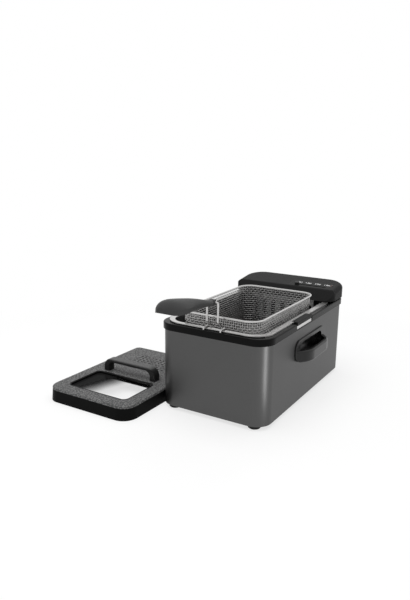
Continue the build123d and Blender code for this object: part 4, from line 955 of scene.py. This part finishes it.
def stage_light(name, place, target, width, height, power, mirrors=()):
    """A soft rectangular light that faces a point, and that neither the camera nor gloss sees.

    With mirrors it's a card instead: it lights nothing, and is seen in those pieces' gloss.
    """
    data = bpy.data.lights.new(name, "AREA")
    data.shape = "RECTANGLE"
    data.size = width
    data.size_y = height
    data.energy = power
    lamp = bpy.data.objects.new(name, data)
    bpy.context.scene.collection.objects.link(lamp)
    turned = (place - target).to_track_quat("Z", "Y").to_matrix().to_4x4()
    lamp.matrix_world = Matrix.Translation(place) @ turned
    lamp.visible_camera = False
    lamp.visible_glossy = bool(mirrors)
    if mirrors:
        lamp.visible_diffuse = False
        lit = bpy.data.collections.new(name + "_mirrors")
        for piece in mirrors:
            lit.objects.link(bpy.data.objects[piece])
        lamp.light_linking.receiver_collection = lit


def aim_camera(stage, foot):
    """A camera that looks forward from yaw and pitch, then rolls about its line of sight."""
    forward = Vector(
        (
            -math.sin(stage.yaw) * math.cos(stage.pitch),
            math.cos(stage.yaw) * math.cos(stage.pitch),
            -math.sin(stage.pitch),
        )
    )
    level = Vector((math.cos(stage.yaw), math.sin(stage.yaw), 0.0))
    upright = level.cross(forward)
    right = level * math.cos(stage.roll) + upright * math.sin(stage.roll)
    up = upright * math.cos(stage.roll) - level * math.sin(stage.roll)
    data = bpy.data.cameras.new("camera")
    data.lens = stage.focal
    data.sensor_width = 36.0
    data.sensor_fit = "AUTO"
    data.clip_end = 50.0
    camera = bpy.data.objects.new("camera", data)
    bpy.context.scene.collection.objects.link(camera)
    axes = Matrix((right, up, -forward)).transposed().to_4x4()
    camera.matrix_world = Matrix.Translation(foot + stage.eye) @ axes
    bpy.context.scene.camera = camera


class FRYER_OT_stage(bpy.types.Operator):
    """Sets the floor, the soft light and the camera"""

    bl_idname = "fryer.stage"
    bl_label = "Stage"

    def execute(self, context):
        stage = context.scene.fryer_stage
        context.scene.view_settings.view_transform = "Standard"
        low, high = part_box("housing_shell")
        foot = Vector(((low[0] + high[0]) / 2, (low[1] + high[1]) / 2, 0.0))
        lay_floor(stage)
        light_world(stage)
        for name, mirrors in (("overhead_softbox", ()), ("wire_card", BRIGHT_WIRES)):
            stage_light(
                name,
                stage.overhead_place,
                stage.overhead_aim,
                stage.overhead_size,
                stage.overhead_size,
                stage.overhead_power,
                mirrors,
            )
        stage_light(
            "corner_strip",
            foot + stage.strip_place,
            foot + stage.strip_aim,
            stage.strip_width,
            stage.strip_height,
            stage.strip_power,
            ("housing_shell",),
        )
        aim_camera(stage, foot)
        return {"FINISHED"}


OPERATORS = (
    FRYER_OT_housing,
    FRYER_OT_bowl,
    FRYER_OT_head,
    FRYER_OT_scale,
    FRYER_OT_basket,
    FRYER_OT_lid,
    FRYER_OT_stage,
)


class FRYER_PT_parts(bpy.types.Panel):
    """Lists the fryer's pieces and their settings"""

    bl_idname = "FRYER_PT_parts"
    bl_label = "Deep fryer"
    bl_space_type = "VIEW_3D"
    bl_region_type = "UI"
    bl_category = "Fryer"

    def draw(self, context):
        for operator in OPERATORS:
            self.layout.operator(operator.bl_idname)
        for name, group in SETTINGS.items():
            box = self.layout.box()
            for prop in group.__annotations__:
                box.prop(getattr(context.scene, name), prop)


def register():
    """Registers the settings, the operators and the panel."""
    for name, group in SETTINGS.items():
        bpy.utils.register_class(group)
        setattr(bpy.types.Scene, name, bpy.props.PointerProperty(type=group))
    for operator in OPERATORS:
        bpy.utils.register_class(operator)
    bpy.utils.register_class(FRYER_PT_parts)


def unregister():
    """Undoes register."""
    bpy.utils.unregister_class(FRYER_PT_parts)
    for operator in reversed(OPERATORS):
        bpy.utils.unregister_class(operator)
    for name, group in SETTINGS.items():
        delattr(bpy.types.Scene, name)
        bpy.utils.unregister_class(group)


def main():
    register()
    bpy.ops.fryer.housing()
    bpy.ops.fryer.bowl()
    bpy.ops.fryer.head()
    bpy.ops.fryer.scale()
    bpy.ops.fryer.basket()
    bpy.ops.fryer.lid()
    bpy.ops.fryer.stage()


if __name__ == "__main__":
    main()
